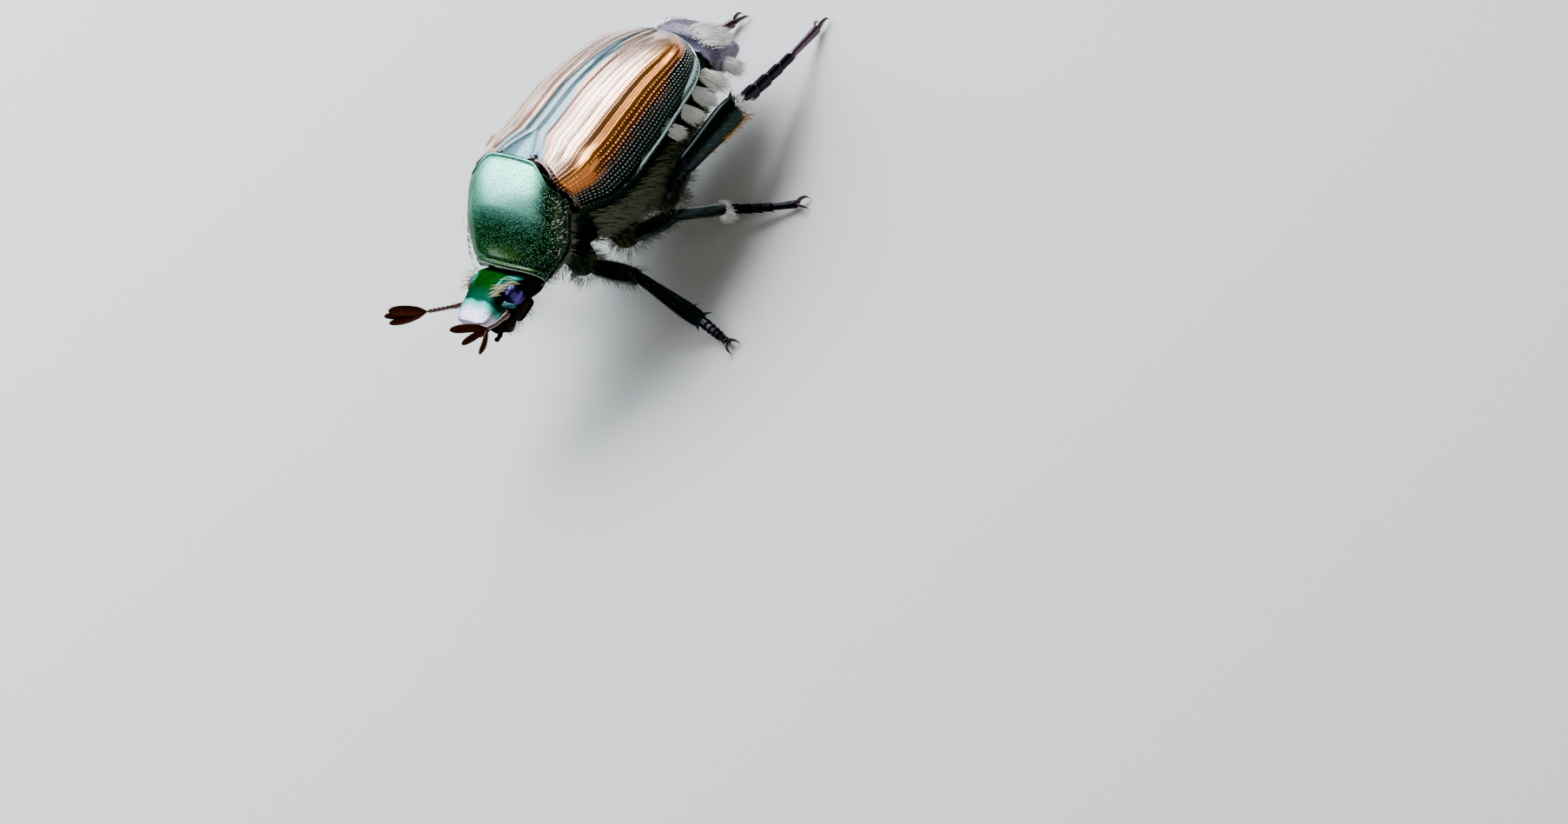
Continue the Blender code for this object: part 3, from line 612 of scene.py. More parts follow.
@dataclass(frozen=True)
class PaperFloor(Finish):
    """Matt studio paper. The eye sees an even pale ground."""

    grain: float = 2.5
    depth: float = 0.05

    def make(self) -> bpy.types.Material:
        """Make the material."""
        material, tree, shader, place = self.start()
        grain = add_node(tree, "TexNoise", {"Scale": METRE / self.grain, "Detail": 4.0, "Vector": place})[0]
        bump = {"Strength": 0.1, "Distance": self.depth * MM, "Height": grain}
        tree.links.new(add_node(tree, "Bump", bump)[0], shader.inputs["Normal"])
        return material


@dataclass(frozen=True)
class Finishes:
    """Every material of the beetle."""

    pronotum: bpy.types.Material
    scutellum: bpy.types.Material
    head: bpy.types.Material
    membrane_and_highlight: bpy.types.Material
    wing_case: bpy.types.Material
    body: bpy.types.Material
    pygidium: bpy.types.Material
    leg: bpy.types.Material
    foot: bpy.types.Material
    toe: bpy.types.Material
    claw: bpy.types.Material
    stalk: bpy.types.Material
    club: bpy.types.Material
    jaw: bpy.types.Material
    eye: bpy.types.Material
    spine: bpy.types.Material
    lilac_down: bpy.types.Material
    white_hair: bpy.types.Material
    grey_hair: bpy.types.Material
    yellow_hair: bpy.types.Material
    floor: bpy.types.Material

    @classmethod
    def make(cls) -> Finishes:
        """Make them all."""
        looks = {
            # bronze green in front; the mint in the middle behind is a painted highlight, the black along the
            # sides painted shade and the pale pits painted glints
            "pronotum": ZonedCuticle(
                "pitted_green_cuticle", "#24541a", 0.28, 1.0, coat=0.3, edge="#7fb09c", deep="#2e2010",
                pit="#5a8878", spacing=0.048, pit_share=0.45, mottle=2.5, middle=0.43, zones=(
                    # painted highlight: mint in the middle behind
                    ("#84d6bc", ("across", 0.25, 0.12, "SMOOTHSTEP"), ("along", 0.28, 0.62, "SMOOTHSTEP")),
                    # painted shade: black along the sides
                    ("#15200f", ("across", 0.31, 0.37, "LINEAR")),
                ),
            ),
            # pale blue green, like the seam beside it, with painted shade in its pits
            "scutellum": PittedCuticle(
                "blue_green_cuticle", "#4a8088", 0.24, 0.8, coat=0.4, deep="#2a5258", pit="#183438"
            ),
            # deep green, darker teal before the face plate; the teal band and the pale lilac in front are a
            # painted reflection, the mint stripes above the eyes a painted highlight, the black temples
            # painted shade and the pale teal pits painted glints
            "head": ZonedCuticle(
                "head_cuticle", "#143410", 0.42, 1.0, edge="#345c36", deep="#102a16", pit="#1c3c30",
                spacing=0.055, waver=0.1, zones=(
                    ("#0f3c30", ("along", 0.50, 0.66, "LINEAR")),
                    # painted reflection: teal band before the face plate
                    ("#4aa094", ("along", 0.70, 0.76, "LINEAR")),
                    # painted reflection: pale lilac face plate
                    ("#c4bcd2", ("along", 0.78, 0.88, "LINEAR")),
                    # painted highlight: mint stripes above the eyes
                    ("#2c8474", ("across", 0.07, 0.10, "LINEAR"), ("along", 0.55, 0.45, "LINEAR")),
                    # painted shade: black temples and below them
                    ("#0c1410", ("across", 0.13, 0.16, "LINEAR"), ("along", 0.68, 0.60, "LINEAR")),
                ),
            ),
            # a thin pale line along the front of the shield: a membrane, its paleness partly a painted
            # highlight, with painted shade in its pits
            "membrane_and_highlight": PittedCuticle("pale_edge_highlight", "#c4ccba", 0.4, 0.0, deep="#9aa590", pit="#8a9480"),
            # mirror-like copper between lines of points, with a painted highlight in pale pink and along the
            # rim
            "wing_case": WingCaseCuticle("copper_cuticle", "#a8622f", 0.26, 1.0, coat=1.0),
            # near black with a green cast under the hair
            "body": PittedCuticle(
                "black_green_cuticle", "#1c2a22", 0.33, 0.9, edge="#66766c", deep="#101812", spacing=0.13
            ),
            # dull violet brown under the down, with painted shade in its pits
            "pygidium": PittedCuticle(
                "downy_cuticle", "#6c6078", 0.42, 0.35, deep="#3e3448", pit="#2a2332", spacing=0.13
            ),
            # black green with a long highlight down each limb; the pale pits are painted glints
            "leg": PittedCuticle(
                "leg_cuticle", "#10201c", 0.28, 0.8, coat=0.12, deep="#0a1216", pit="#1c3230",
                spacing=0.08, depth=0.006
            ),
            # glossy violet black
            "foot": PittedCuticle(
                "foot_cuticle", "#201a26", 0.28, 0.8, coat=0.2, edge="#7a7a84", deep="#100e16",
                spacing=0.2, depth=0.005
            ),
            # wine red of the last joint of the hind feet
            "toe": PittedCuticle(
                "toe_cuticle", "#4a1c34", 0.26, 0.3, coat=0.4, deep="#240f1c", spacing=0.2, depth=0.005
            ),
            # dark red brown horn
            "claw": PittedCuticle(
                "claw_horn", "#3a1a18", 0.3, 0.0, coat=0.2, deep="#170a0b", spacing=0.2, depth=0.003
            ),
            # glassy red brown, with painted shade in its pits
            "stalk": PittedCuticle(
                "red_brown_cuticle", "#5a2616", 0.2, 0.1, coat=0.7, deep="#38140c", pit="#38140c", depth=0.003
            ),
            # matt dark brown leaves, with painted shade in their pits
            "club": PittedCuticle(
                "club_cuticle", "#482414", 0.36, 0.5, edge="#a09084", deep="#28140c", pit="#201008",
                spacing=0.035, depth=0.003
            ),
            # brown black, lost in the shade under the head
            "jaw": PittedCuticle(
                "jaw_cuticle", "#2a231d", 0.36, 0.9, edge="#6c665c", deep="#191511", spacing=0.12
            ),
            # a violet blue bead
            "eye": FacetedEye("eye_lens", "#453a72", 0.26, 1.0, coat=0.2, edge="#5a5484"),
            # amber thorns and bristles
            "spine": HairKeratin("amber_spine", "#c89a2c", 0.35, second="#a8741c"),
            # a lilac bloom over the pygidium
            "lilac_down": HairKeratin("lilac_down", "#b8aabf", 0.5, second="#75667f"),
            # chalk white brushes
            "white_hair": HairKeratin("white_hair", "#ffffff", 0.6, second="#f6f0e4"),
            # a grey green haze over the breast and the legs
            "grey_hair": HairKeratin("grey_hair", "#868c70", 0.5, second="#4e5642"),
            # cream bristles above the eyes
            "yellow_hair": HairKeratin("yellow_hair", "#f0e8c8", 0.5, second="#e0d2a0"),
            # pale warm paper
            "floor": PaperFloor("studio_paper", "#dad9d5", 0.85),
        }
        return cls(**{name: look.make() for name, look in looks.items()})


# The body


@dataclass(frozen=True)
class WingCases:
    """The two elytra: ribbed copper shells with punctured lines and a raised rim."""

    stations: tuple[Row, ...] = (
        (-1.02, 2.50, 3.15, 4.70),
        (-0.60, 2.68, 2.98, 4.69),
        (0.30, 2.78, 2.90, 4.68),
        (1.45, 2.76, 2.94, 4.71),
        (2.55, 2.60, 2.99, 4.60),
        (3.50, 2.42, 3.00, 4.36),
        (4.15, 2.12, 3.10, 4.08),
        (4.60, 1.48, 3.36, 3.82),
        (4.78, 0.84, 3.52, 3.70),
    )
    roundness: float = 2.5
    seam: float = 0.012  # half the gap between the cases
    thickness: float = 0.14
    rib_height: float = 0.028
    ribs: int = 6
    rim: float = 0.05
    scutellum_half_width: float = 0.66
    scutellum_tip: float = -0.12
    corner: float = 0.38  # how far the shoulders run forward
    rows: int = 230
    columns: int = 190

    def dome(self, y: np.ndarray, angle: np.ndarray, lift: np.ndarray | float = 0.0) -> np.ndarray:
        """Points of the arch, lifted off it by a distance.

        Args:
            y: places along the body.
            angle: 0 in the middle of the back and a right angle at the margin.
            lift: distance outwards.

        Returns:
            Points in the body's frame.
        """
        half_width, margin, top = Stations(self.stations)(y)
        top = top + lift
        margin = np.minimum(margin, top - 0.1)
        exponent = 2 / self.roundness
        x = (half_width + lift) * power(np.sin(angle), exponent)
        return np.stack([x, y + 0 * x, margin + (top - margin) * power(np.cos(angle), exponent)], -1)

    def angle_at(self, x: np.ndarray, y: np.ndarray) -> np.ndarray:
        """The angle of the arch at which it is x from the middle."""
        half_width = Stations(self.stations)(y)[0]
        return np.arcsin(np.clip(x / half_width, 0, 1) ** (self.roundness / 2))

    def notch(self, y: np.ndarray) -> np.ndarray:
        """Half the width that the scutellum takes between the cases."""
        front = self.stations[0][0]
        along = np.clip((y - front) / (self.scutellum_tip - front), 0, 1)
        return self.scutellum_half_width * (1 - along**1.4)

    def places(self, share: np.ndarray, across: np.ndarray) -> tuple[np.ndarray, np.ndarray]:
        """Where points of a case lie.

        Args:
            share: 0 at the front edge and 1 at the rear one.
            across: 0 at the seam and 1 at the margin.

        Returns:
            Places along the body and angles of the arch.
        """
        front = self.stations[0][0] - 0.08 - self.corner * step_at(across, 0.10, 0.62)
        y = front + (self.stations[-1][0] + 0.02 - front) * share
        start = self.angle_at(self.seam + np.where(y < self.scutellum_tip, self.notch(y), 0.0), y)
        return y, start + (math.pi / 2 - start) * across

    def relief(self, across: np.ndarray, y: np.ndarray) -> np.ndarray:
        """Height of the ribs, the seam's bead, the shoulder's hump and the rim over the plain arch."""
        ribs = self.rib_height * (1 - np.cos(2 * math.pi * self.ribs * across)) / 2
        ribs = ribs * step_at(across, 0.05, 0.12) * (1 - step_at(across, 0.78, 0.9))
        ribs = ribs * step_at(y, -1.0, -0.5) * (1 - step_at(y, 3.9, 4.5))
        bead = 0.03 * bump_at(across, 0.03, 0.025) - 0.02 * bump_at(across, 0.085, 0.02)
        shoulder = 0.13 * bump_at(across, 0.60, 0.10) * bump_at(y, -0.45, 0.40)
        knob = 0.05 * bump_at(across, 0.55, 0.14) * bump_at(y, 4.0, 0.35)
        rim = self.rim * bump_at(across, 0.985, 0.018) - 0.03 * bump_at(across, 0.945, 0.02)
        return ribs + bead + shoulder + knob + rim

    def build(self, stance: Stance, finishes: Finishes) -> None:
        """Build both cases."""
        share = np.linspace(0, 1, self.rows)[:, None]
        across = np.linspace(0, 1, self.columns)[None, :]
        y, angle = self.places(share, across)
        ahead = y - y[:1]
        bead = 0.04 * bump_at(ahead, 0.04, 0.03) - 0.03 * bump_at(ahead, 0.13, 0.03)
        outer = self.dome(y, angle, self.relief(across, y) + bead - 0.25 * step_at(y, 4.72, 4.80))
        lining = self.dome(*self.places(share, np.linspace(1, 0, 24)[None, :]), -self.thickness)
        rings = np.concatenate([outer, lining], axis=1)
        map_across = np.concatenate([across[0], 1 + 0.2 * np.linspace(0.05, 1, 25)])
        for side in Side:
            solid = Solid()
            solid.loft(stance.place(rings * (side.value, 1, 1)), across=map_across)
            piece = solid.make(f"wing_case_{side.tag}", [finishes.wing_case])
            ride(piece, "copper_shell", f"elytron_{side.tag}")


@dataclass(frozen=True)
class Pronotum:
    """The shield of the fore body: an arched, pitted plate with a beaded edge."""

    stations: tuple[Row, ...] = (
        (-3.62, 1.43, 2.20, 2.81, 1.72),
        (-3.20, 1.93, 2.52, 3.18, 1.56),
        (-2.45, 2.38, 2.92, 4.08, 1.42),
        (-1.80, 2.32, 3.46, 4.57, 1.34),
        (-1.27, 2.28, 3.62, 4.75, 1.30),
    )
    roundness: float = 2.28
    front: float = -3.62
    front_bow: float = 0.15  # how far the front edge runs back at the sides
    rear: float = -1.18
    rear_corner: float = -0.46  # how far the hind edge runs forward towards the sides
    turn: float = 0.088  # sideways drift of the shield to the left for each millimetre forward
    thickness: float = 0.12
    bead: float = 0.035
    rows: int = 170
    columns: int = 240

    def arch(self, y: np.ndarray, angle: np.ndarray, lift: np.ndarray | float = 0.0) -> np.ndarray:
        """Points of the shield, lifted off it by a distance.

        Args:
            y: places along the body.
            angle: 0 at the left margin and a straight angle at the right one.
            lift: distance outwards.

        Returns:
            Points in the body's frame.
        """
        half_width, side, top, _ = Stations(self.stations)(y)
        exponent = 2 / self.roundness
        x = (half_width + lift) * power(np.cos(angle), exponent) + self.turn * (self.stations[-1][0] - y)
        return np.stack([x, y + 0 * x, side + (top + lift - side) * power(np.sin(angle), exponent)], -1)

    def edges(self, angle: np.ndarray) -> tuple[np.ndarray, np.ndarray]:
        """Places of the front and hind edge at angles of the arch."""
        outward = np.abs(np.cos(angle))
        rear = self.rear + self.rear_corner * step_at(outward, 0.36, 0.84) - 0.10 * step_at(outward, 0.9, 1.0)
        return self.front + self.front_bow * outward**2, rear

    def build(self, stance: Stance, finishes: Finishes) -> None:
        """Build the shield."""
        angle = np.linspace(0, math.pi, self.columns)[None, :]
        share = np.linspace(0, 1, self.rows)[:, None]
        share = share + 0.06 * np.sin(2 * math.pi * share) * -0.5
        outward = np.abs(np.cos(angle))
        front, rear = self.edges(angle)
        y = front + (rear - front) * share
        edge = np.minimum(np.minimum(y - front, rear - y), 2.2 * np.minimum(angle, math.pi - angle))
        lift = self.bead * bump_at(edge, 0.03, 0.035) - 0.03 * bump_at(edge, 0.11, 0.035)
        dent = -0.05 * bump_at(outward, 0.80, 0.10) * bump_at(y, -2.45, 0.22)
        outer = self.arch(y, angle, lift + dent)
        back = angle[:, ::-6]
        front, rear = self.edges(back)
        lining = self.arch(front + (rear - front) * share, back, -self.thickness)
        solid = Solid()
        solid.loft(stance.place(np.concatenate([outer, lining], axis=1)))
        # the pale membrane along the front edge, partly a painted highlight
        line = np.linspace(0.1, math.pi - 0.1, 120)
        edge = stance.place(self.arch(self.edges(line)[0] - 0.005, line, -0.02))
        size = 0.016 * np.ones(120)
        solid.tube(edge, (0.0, 0.0, 1.0), size, size * 0.8, 10, slot=1)
        piece = solid.make("pronotum_shield", [finishes.pronotum, finishes.membrane_and_highlight])
        ride(piece, "green_shell", "pronotum")


@dataclass(frozen=True)
class Scutellum:
    """The rounded triangular plate between the bases of the wing cases."""

    cases: WingCases
    rows: int = 60
    columns: int = 60
    thickness: float = 0.12

    def build(self, stance: Stance, finishes: Finishes) -> None:
        """Build the plate."""
        y = np.linspace(self.cases.stations[0][0] - 0.1, self.cases.scutellum_tip - 0.02, self.rows)[:, None]
        reach = np.maximum(self.cases.notch(y) - 0.012, 0.004)
        across = np.linspace(-1, 1, self.columns)[None, :]
        x = reach * across
        height = self.cases.dome(y, self.cases.angle_at(np.abs(x), y))[..., 2]
        crown = 0.05 * (1 - across**2) * step_at(-y, 0.12, 0.6)
        top = np.stack([x, y + 0 * x, height + crown], -1)
        under = (top - (0, 0, self.thickness))[:, ::-1]
        solid = Solid()
        solid.loft(stance.place(np.concatenate([top, under], axis=1)))
        ride(solid.make("scutellum_plate", [finishes.scutellum]), "green_shell", "scutellum")


@dataclass(frozen=True)
class Trunk:
    """Breast, belly and pygidium under the shells: one continuous skin, with the hip joints and the neck."""

    cases: WingCases
    shield: Pronotum
    stations: tuple[Row, ...] = (
        (-1.02, 2.15, 1.20),
        (-0.20, 2.42, 0.98),
        (0.80, 2.50, 0.86),
        (2.00, 2.42, 0.92),
        (3.00, 2.26, 1.08),
        (3.90, 2.10, 1.34),
        (4.45, 1.94, 1.58),
    )
    roundness: float = 2.2
    gap: float = 0.03  # below the margin of the wing cases
    rings_from: float = 1.80  # where the rings of the belly start
    ring_length: float = 0.52
    ring_step: float = 0.09
    pygidium: tuple[Row, ...] = (
        (4.40, 1.90, 2.50, 2.94, 1.60),
        (4.65, 1.86, 2.46, 2.96, 1.64),
        (4.95, 1.84, 2.48, 3.08, 1.68),
        (5.10, 1.80, 2.46, 3.24, 1.66),
        (5.35, 1.66, 2.36, 3.28, 1.60),
        (5.65, 1.36, 2.16, 3.08, 1.54),
        (5.95, 0.98, 1.92, 2.64, 1.48),
        (6.10, 0.62, 1.76, 2.24, 1.48),
    )
    grain: float = 0.05  # size of the skin's mesh

    def flank(self, y: np.ndarray, angle: np.ndarray) -> np.ndarray:
        """Points of the left flank and belly.

        Args:
            y: places along the body.
            angle: 0 below the wing case's margin and a right angle at the keel.

        Returns:
            Points in the body's frame.
        """
        half_width, keel = Stations(self.stations)(y)
        _, margin, _ = Stations(self.cases.stations)(y)
        ledge = margin - self.gap
        swell = self.ring_step * (((y - self.rings_from) / self.ring_length) % 1.0) * (y > self.rings_from)
        exponent = 2 / self.roundness
        x = (half_width + swell) * power(np.cos(angle), exponent)
        z = ledge - (ledge - keel + swell) * power(np.sin(angle), exponent)
        return np.stack([x, y + 0 * x, z + 0 * x], -1)

    def back(self, y: np.ndarray, angle: np.ndarray) -> np.ndarray:
        """Points of the left half of the back, which lies hidden under the wing case."""
        return self.cases.dome(y, angle, -0.22)

    def pygidium_at(self, y: np.ndarray, angle: np.ndarray) -> np.ndarray:
        """Points round the pygidium, from its left side (0) over its top (a right angle)."""
        half_width, side, top, bottom = Stations(self.pygidium)(y)
        rise = np.where(np.sin(angle) >= 0, top - side, side - bottom)
        x = half_width * power(np.cos(angle), 2 / 2.2)
        return np.stack([x, y + 0 * x, side + rise * power(np.sin(angle), 2 / 2.2)], -1)

    def skin(self, solid: Solid, stance: Stance) -> None:
        """Add the trunk, the pygidium, the fore breast and the neck."""
        y = np.linspace(-1.55, 4.62, 240)[:, None]
        quarter = np.linspace(0, math.pi / 2, 40)[None, :]
        half = np.concatenate([self.back(y, quarter), self.flank(y, quarter)], axis=1)
        ring = np.concatenate([half, (half * (-1, 1, 1))[:, -2:0:-1]], axis=1)
        solid.loft(stance.place(ring))
        y = np.linspace(self.pygidium[0][0], self.pygidium[-1][0] + 0.06, 60)[:, None]
        turn = np.linspace(0, 2 * math.pi, 72, endpoint=False)[None, :]
        solid.loft(stance.place(self.pygidium_at(y, turn)))
        y = np.linspace(self.shield.front + 0.10, self.shield.rear - 0.1, 60)[:, None]
        half_width, side, top, bottom = Stations(self.shield.stations)(y)
        rise = np.where(np.sin(turn) >= 0, top - 0.08 - side, side - bottom)
        close = 1 - 0.35 * (1 - step_at(y, self.shield.front, self.shield.front + 0.45))
        exponent = np.where(np.sin(turn) >= 0, 2 / 2.1, 2 / 1.3)
        drift = self.shield.turn * (self.shield.stations[-1][0] - y)
        x = (half_width - 0.14) * close * power(np.cos(turn), exponent) + drift
        ring = np.stack([x, y + 0 * x, side - 0.03 + close * rise * power(np.sin(turn), exponent)], -1)
        solid.loft(stance.place(ring))

    def build(self, stance: Stance, finishes: Finishes, hips: list[np.ndarray]) -> None:
        """Build the skin.

        Args:
            stance: where the body stands.
            finishes: the materials.
            hips: middle points of the hip joints.
        """
        solid = Solid()
        self.skin(solid, stance)
        up = stance.turn(np.array([0.0, 0.0, 1.0]))
        for hip in hips:
            path = hip + np.linspace(0.75, -0.24, 14)[:, None] * up
            size = 0.40 * round_off(np.linspace(-0.2, 1, 14), 4, 0.02)
            solid.tube(path, (0.0, 1.0, 0.0), size * 1.15, size, 28)
        rough = solid.make("body_skin", [finishes.body, finishes.pygidium])
        rough.data.transform(Matrix.Scale(1 / MM, 4))
        remesh = rough.modifiers.new("one skin", "REMESH")
        remesh.mode = "VOXEL"
        remesh.voxel_size = self.grain
        soften = rough.modifiers.new("soften", "SMOOTH")
        soften.iterations = 3
        bpy.context.view_layer.update()
        graph = bpy.context.evaluated_depsgraph_get()
        mesh = bpy.data.meshes.new_from_object(rough.evaluated_get(graph))
        rough.modifiers.clear()
        rough.data = mesh
        mesh.transform(Matrix.Scale(MM, 4))
        mesh.shade_smooth()
        rear = stance.place(np.array([0.0, 4.66, 2.4]))[1] * MM
        for face in mesh.polygons:
            face.material_index = int(face.center.y > rear)
        nodes = ["thorax", "abdomen", "pygidium"]
        nodes += [f"leg_{pair}_{side.tag}_coxa" for pair in LEGS for side in Side]
        ride(rough, "dark_body", *nodes)


@dataclass(frozen=True)
class Head:
    """The head with its face shield, eyes, jaws and palps."""

    stations: tuple[Row, ...] = (
        (-3.20, 1.16, 2.20, 2.38, 1.70),
        (-3.50, 1.22, 2.20, 2.54, 1.66),
        (-3.66, 1.20, 2.22, 2.66, 1.66),
        (-3.87, 1.10, 2.26, 2.79, 1.66),
        (-4.14, 0.90, 2.27, 2.78, 1.60),
        (-4.55, 0.82, 2.26, 2.67, 1.64),
        (-4.88, 0.82, 2.24, 2.55, 1.78),
        (-5.14, 0.76, 2.24, 2.45, 1.92),
        (-5.28, 0.68, 2.25, 2.41, 2.02),
        (-5.37, 0.52, 2.27, 2.38, 2.10),
    )
    roundness: float = 2.8
    turn: float = 0.16  # how far the back of the head lies to the left, under the shield
    eye_centre: tuple[float, float, float] = (0.88, -4.09, 2.29)
    eye_size: tuple[float, float, float] = (0.32, 0.34, 0.32)
    # start, end, half-breadth and half-thickness of lip, left jaw, chin, and inner and outer left cheek
    mouth: tuple[tuple[Row, Row, float, float], ...] = (
        ((0.0, -5.02, 1.98), (0.0, -5.16, 1.86), 0.46, 0.07),
        ((0.30, -4.75, 1.72), (0.24, -5.06, 1.56), 0.20, 0.16),
        ((0.0, -4.10, 1.62), (0.0, -4.80, 1.26), 0.42, 0.26),
        ((0.46, -4.30, 1.66), (0.40, -4.86, 1.44), 0.17, 0.16),
        ((0.72, -3.72, 1.78), (0.60, -4.50, 1.62), 0.24, 0.26),
    )
    palp: tuple[Row, ...] = (
        (0.24, -4.80, 1.52),
        (0.32, -4.96, 1.46),
        (0.39, -5.12, 1.47),
        (0.44, -5.28, 1.52),
    )

    def surface(self, y: np.ndarray, angle: np.ndarray) -> np.ndarray:
        """Points round the head, from its left side (0) over its top (a right angle)."""
        half_width, side, top, bottom = Stations(self.stations)(y)
        upper = np.sin(angle) >= 0
        exponent = np.where(upper, 2 / self.roundness, 2 / 2.2)
        x = half_width * power(np.cos(angle), exponent)
        rise = np.where(upper, top - side, side - bottom) * power(np.sin(angle), exponent)
        turned = x + self.turn * step_at(y, -4.3, -3.5)
        edge = np.minimum(half_width - np.abs(x), y - self.stations[-1][0])
        rim = 0.045 * bump_at(edge, 0.02, 0.06) * step_at(-y, 4.6, 5.1) * upper * np.abs(np.sin(angle))
        seam = -0.012 * bump_at(y + 0.12 * np.abs(x), -4.66, 0.03) * upper
        brow = 0.05 * bump_at(np.abs(x), 0.62, 0.12) * step_at(-y, 3.7, 4.0) * upper
        brow = brow * (1 - step_at(-y, 4.4, 4.7))
        return np.stack([turned, y + 0 * x, side + rise + rim + seam + brow], -1)

    def build_shell(self, stance: Stance, finishes: Finishes) -> None:
        """Build the head's shell."""
        share = np.linspace(0, 1, 130)
        y = (self.stations[0][0] + (self.stations[-1][0] - self.stations[0][0]) * share)[:, None]
        angle = np.linspace(0, 2 * math.pi, 144, endpoint=False)[None, :]
        solid = Solid()
        solid.loft(stance.place(self.surface(y, angle)))
        for side in Side:
            ridge = curve(((0.70, -4.52, 2.38), (0.95, -4.50, 2.30), (1.20, -4.38, 2.20)), 16)
            size = np.linspace(0.10, 0.07, 16) * round_off(np.linspace(0, 1, 16), 6, 0.03)
            path = stance.place(ridge * (side.value, 1, 1))
            solid.tube(path, (0.0, 1.0, 0.0), size * 1.2, size * 0.4, slot=1)
        ride(solid.make("head_shell", [finishes.head, finishes.scutellum]), "green_shell", "head")

    def build_eyes(self, stance: Stance, finishes: Finishes) -> None:
        """Build both eyes."""
        turn = np.linspace(0, 2 * math.pi, 48, endpoint=False)[None, :]
        tilt = np.linspace(-math.pi / 2 + 0.03, math.pi / 2 - 0.03, 33)[:, None]
        flat = np.cos(tilt)
        ball = np.stack([np.sin(tilt) + 0 * turn, flat * np.cos(turn), flat * np.sin(turn)], -1)
        for side in Side:
            solid = Solid()
            centre = np.array(self.eye_centre)
            solid.loft(stance.place((centre + ball * self.eye_size) * (side.value, 1, 1)))
            ride(solid.make(f"eye_lens_{side.tag}", [finishes.eye]), "eye", f"eye_{side.tag}")

    def build_mouth(self, stance: Stance, finishes: Finishes) -> None:
        """Build the lip, the jaws, the chin and the palps."""
        solid = Solid()
        size = round_off(np.linspace(-1, 1, 18), 6, 0.03)
        for start, end, half_broad, half_thin in self.mouth:
            for mirror in (1, -1) if start[0] else (1,):
                path = stance.place(np.linspace(start, end, 18) * (mirror, 1, 1))
                solid.tube(path, (1.0, 0.0, 0.0), half_broad * size, half_thin * size, 28)
        ride(solid.make("jaws", [finishes.jaw]), "brown_feelers", "mouthparts")
        for side in Side:
            solid = Solid()
            path = stance.place(curve(self.palp, 40) * (side.value, 1, 1))
            share = np.linspace(0, 1, 40)
            size = 0.062 + 0.014 * np.sin(share * 3 * math.pi) ** 2
            size = size * round_off(2 * share - 1, 12, 0.05)
            solid.tube(path, (1.0, 0.0, 0.0), size, size)
            ride(solid.make(f"palp_joints_{side.tag}", [finishes.jaw]), "brown_feelers", f"palp_{side.tag}")

    def build(self, stance: Stance, finishes: Finishes) -> None:
        """Build the whole head."""
        self.build_shell(stance, finishes)
        self.build_eyes(stance, finishes)
        self.build_mouth(stance, finishes)


@dataclass(frozen=True)
class Antenna:
    """A feeler: a jointed stalk and a club of three leaves."""

    side: Side
    stalk: tuple[Row, ...]
    tips: tuple[Row, ...]
    bends: tuple[Row, ...]
    leaf_half_widths: tuple[float, float, float] = (0.135, 0.11, 0.085)
    leaf_half_thickness: float = 0.055

    def build(self, stance: Stance, finishes: Finishes) -> None:
        """Build the stalk and the club."""
        mirror = (self.side.value, 1, 1)
        path = stance.place(curve(self.stalk, 90) * mirror)
        share = np.linspace(0, 1, 90)
        beads = np.abs(np.sin(math.pi * np.clip((share - 0.42) / 0.58, 0, 1) * 6))
        first = 0.050 + 0.040 * np.sin(share / 0.42 * math.pi * 0.75)
        size = np.where(share < 0.42, first, 0.054 + 0.012 * beads) * round_off(2 * share - 1, 30, 0.05)
        solid = Solid()
        solid.tube(path, (0.0, 0.0, 1.0), size, size)
        tag = self.side.tag
        ride(solid.make(f"stalk_{tag}", [finishes.stalk]), "brown_feelers", f"antenna_{tag}_stalk")
        club = np.array(self.stalk[-1])
        tips = np.array(self.tips)
        facing = np.cross(tips[1] - club, tips[0] - tips[2])
        solid = Solid()
        share = np.linspace(0, 1, 36)
        leaf = np.sqrt(np.clip(share / 0.25, 0.04, 1)) * (0.62 + 0.38 * np.sin(share * math.pi * 0.72))
        leaf = leaf * round_off(share, 7, 0.02)
        for tip, bend, half_width in zip(self.tips, self.bends, self.leaf_half_widths):
            middle = (club + np.array(tip)) / 2 + np.array(bend)
            path = stance.place(curve((club, middle, tip), 36) * mirror)
            aside = np.cross(stance.turn(facing * mirror), unit(np.gradient(path, axis=0)))
            solid.tube(path, aside, half_width * leaf, self.leaf_half_thickness * leaf, 24)
        ride(solid.make(f"club_{tag}", [finishes.club]), "brown_feelers", f"antenna_{tag}_club")


@dataclass(frozen=True)
class LegShape:
    """Joints and sizes of a left leg, measured on the floor under the body."""

    knee: Row
    ankle: Row
    toe: Row
    femur: tuple[float, float]
    tibia: tuple[float, float, float]
    edge: Row
    spines: tuple[Row, ...]
    right_step: tuple[float, float]
    foot: tuple[float, float] = (0.16, 0.135)  # radius of the first and of the last joint
    spine_slot: int = 1
    bristles: int = 0
    fringe: int = 420  # white hairs round the end of the tibia


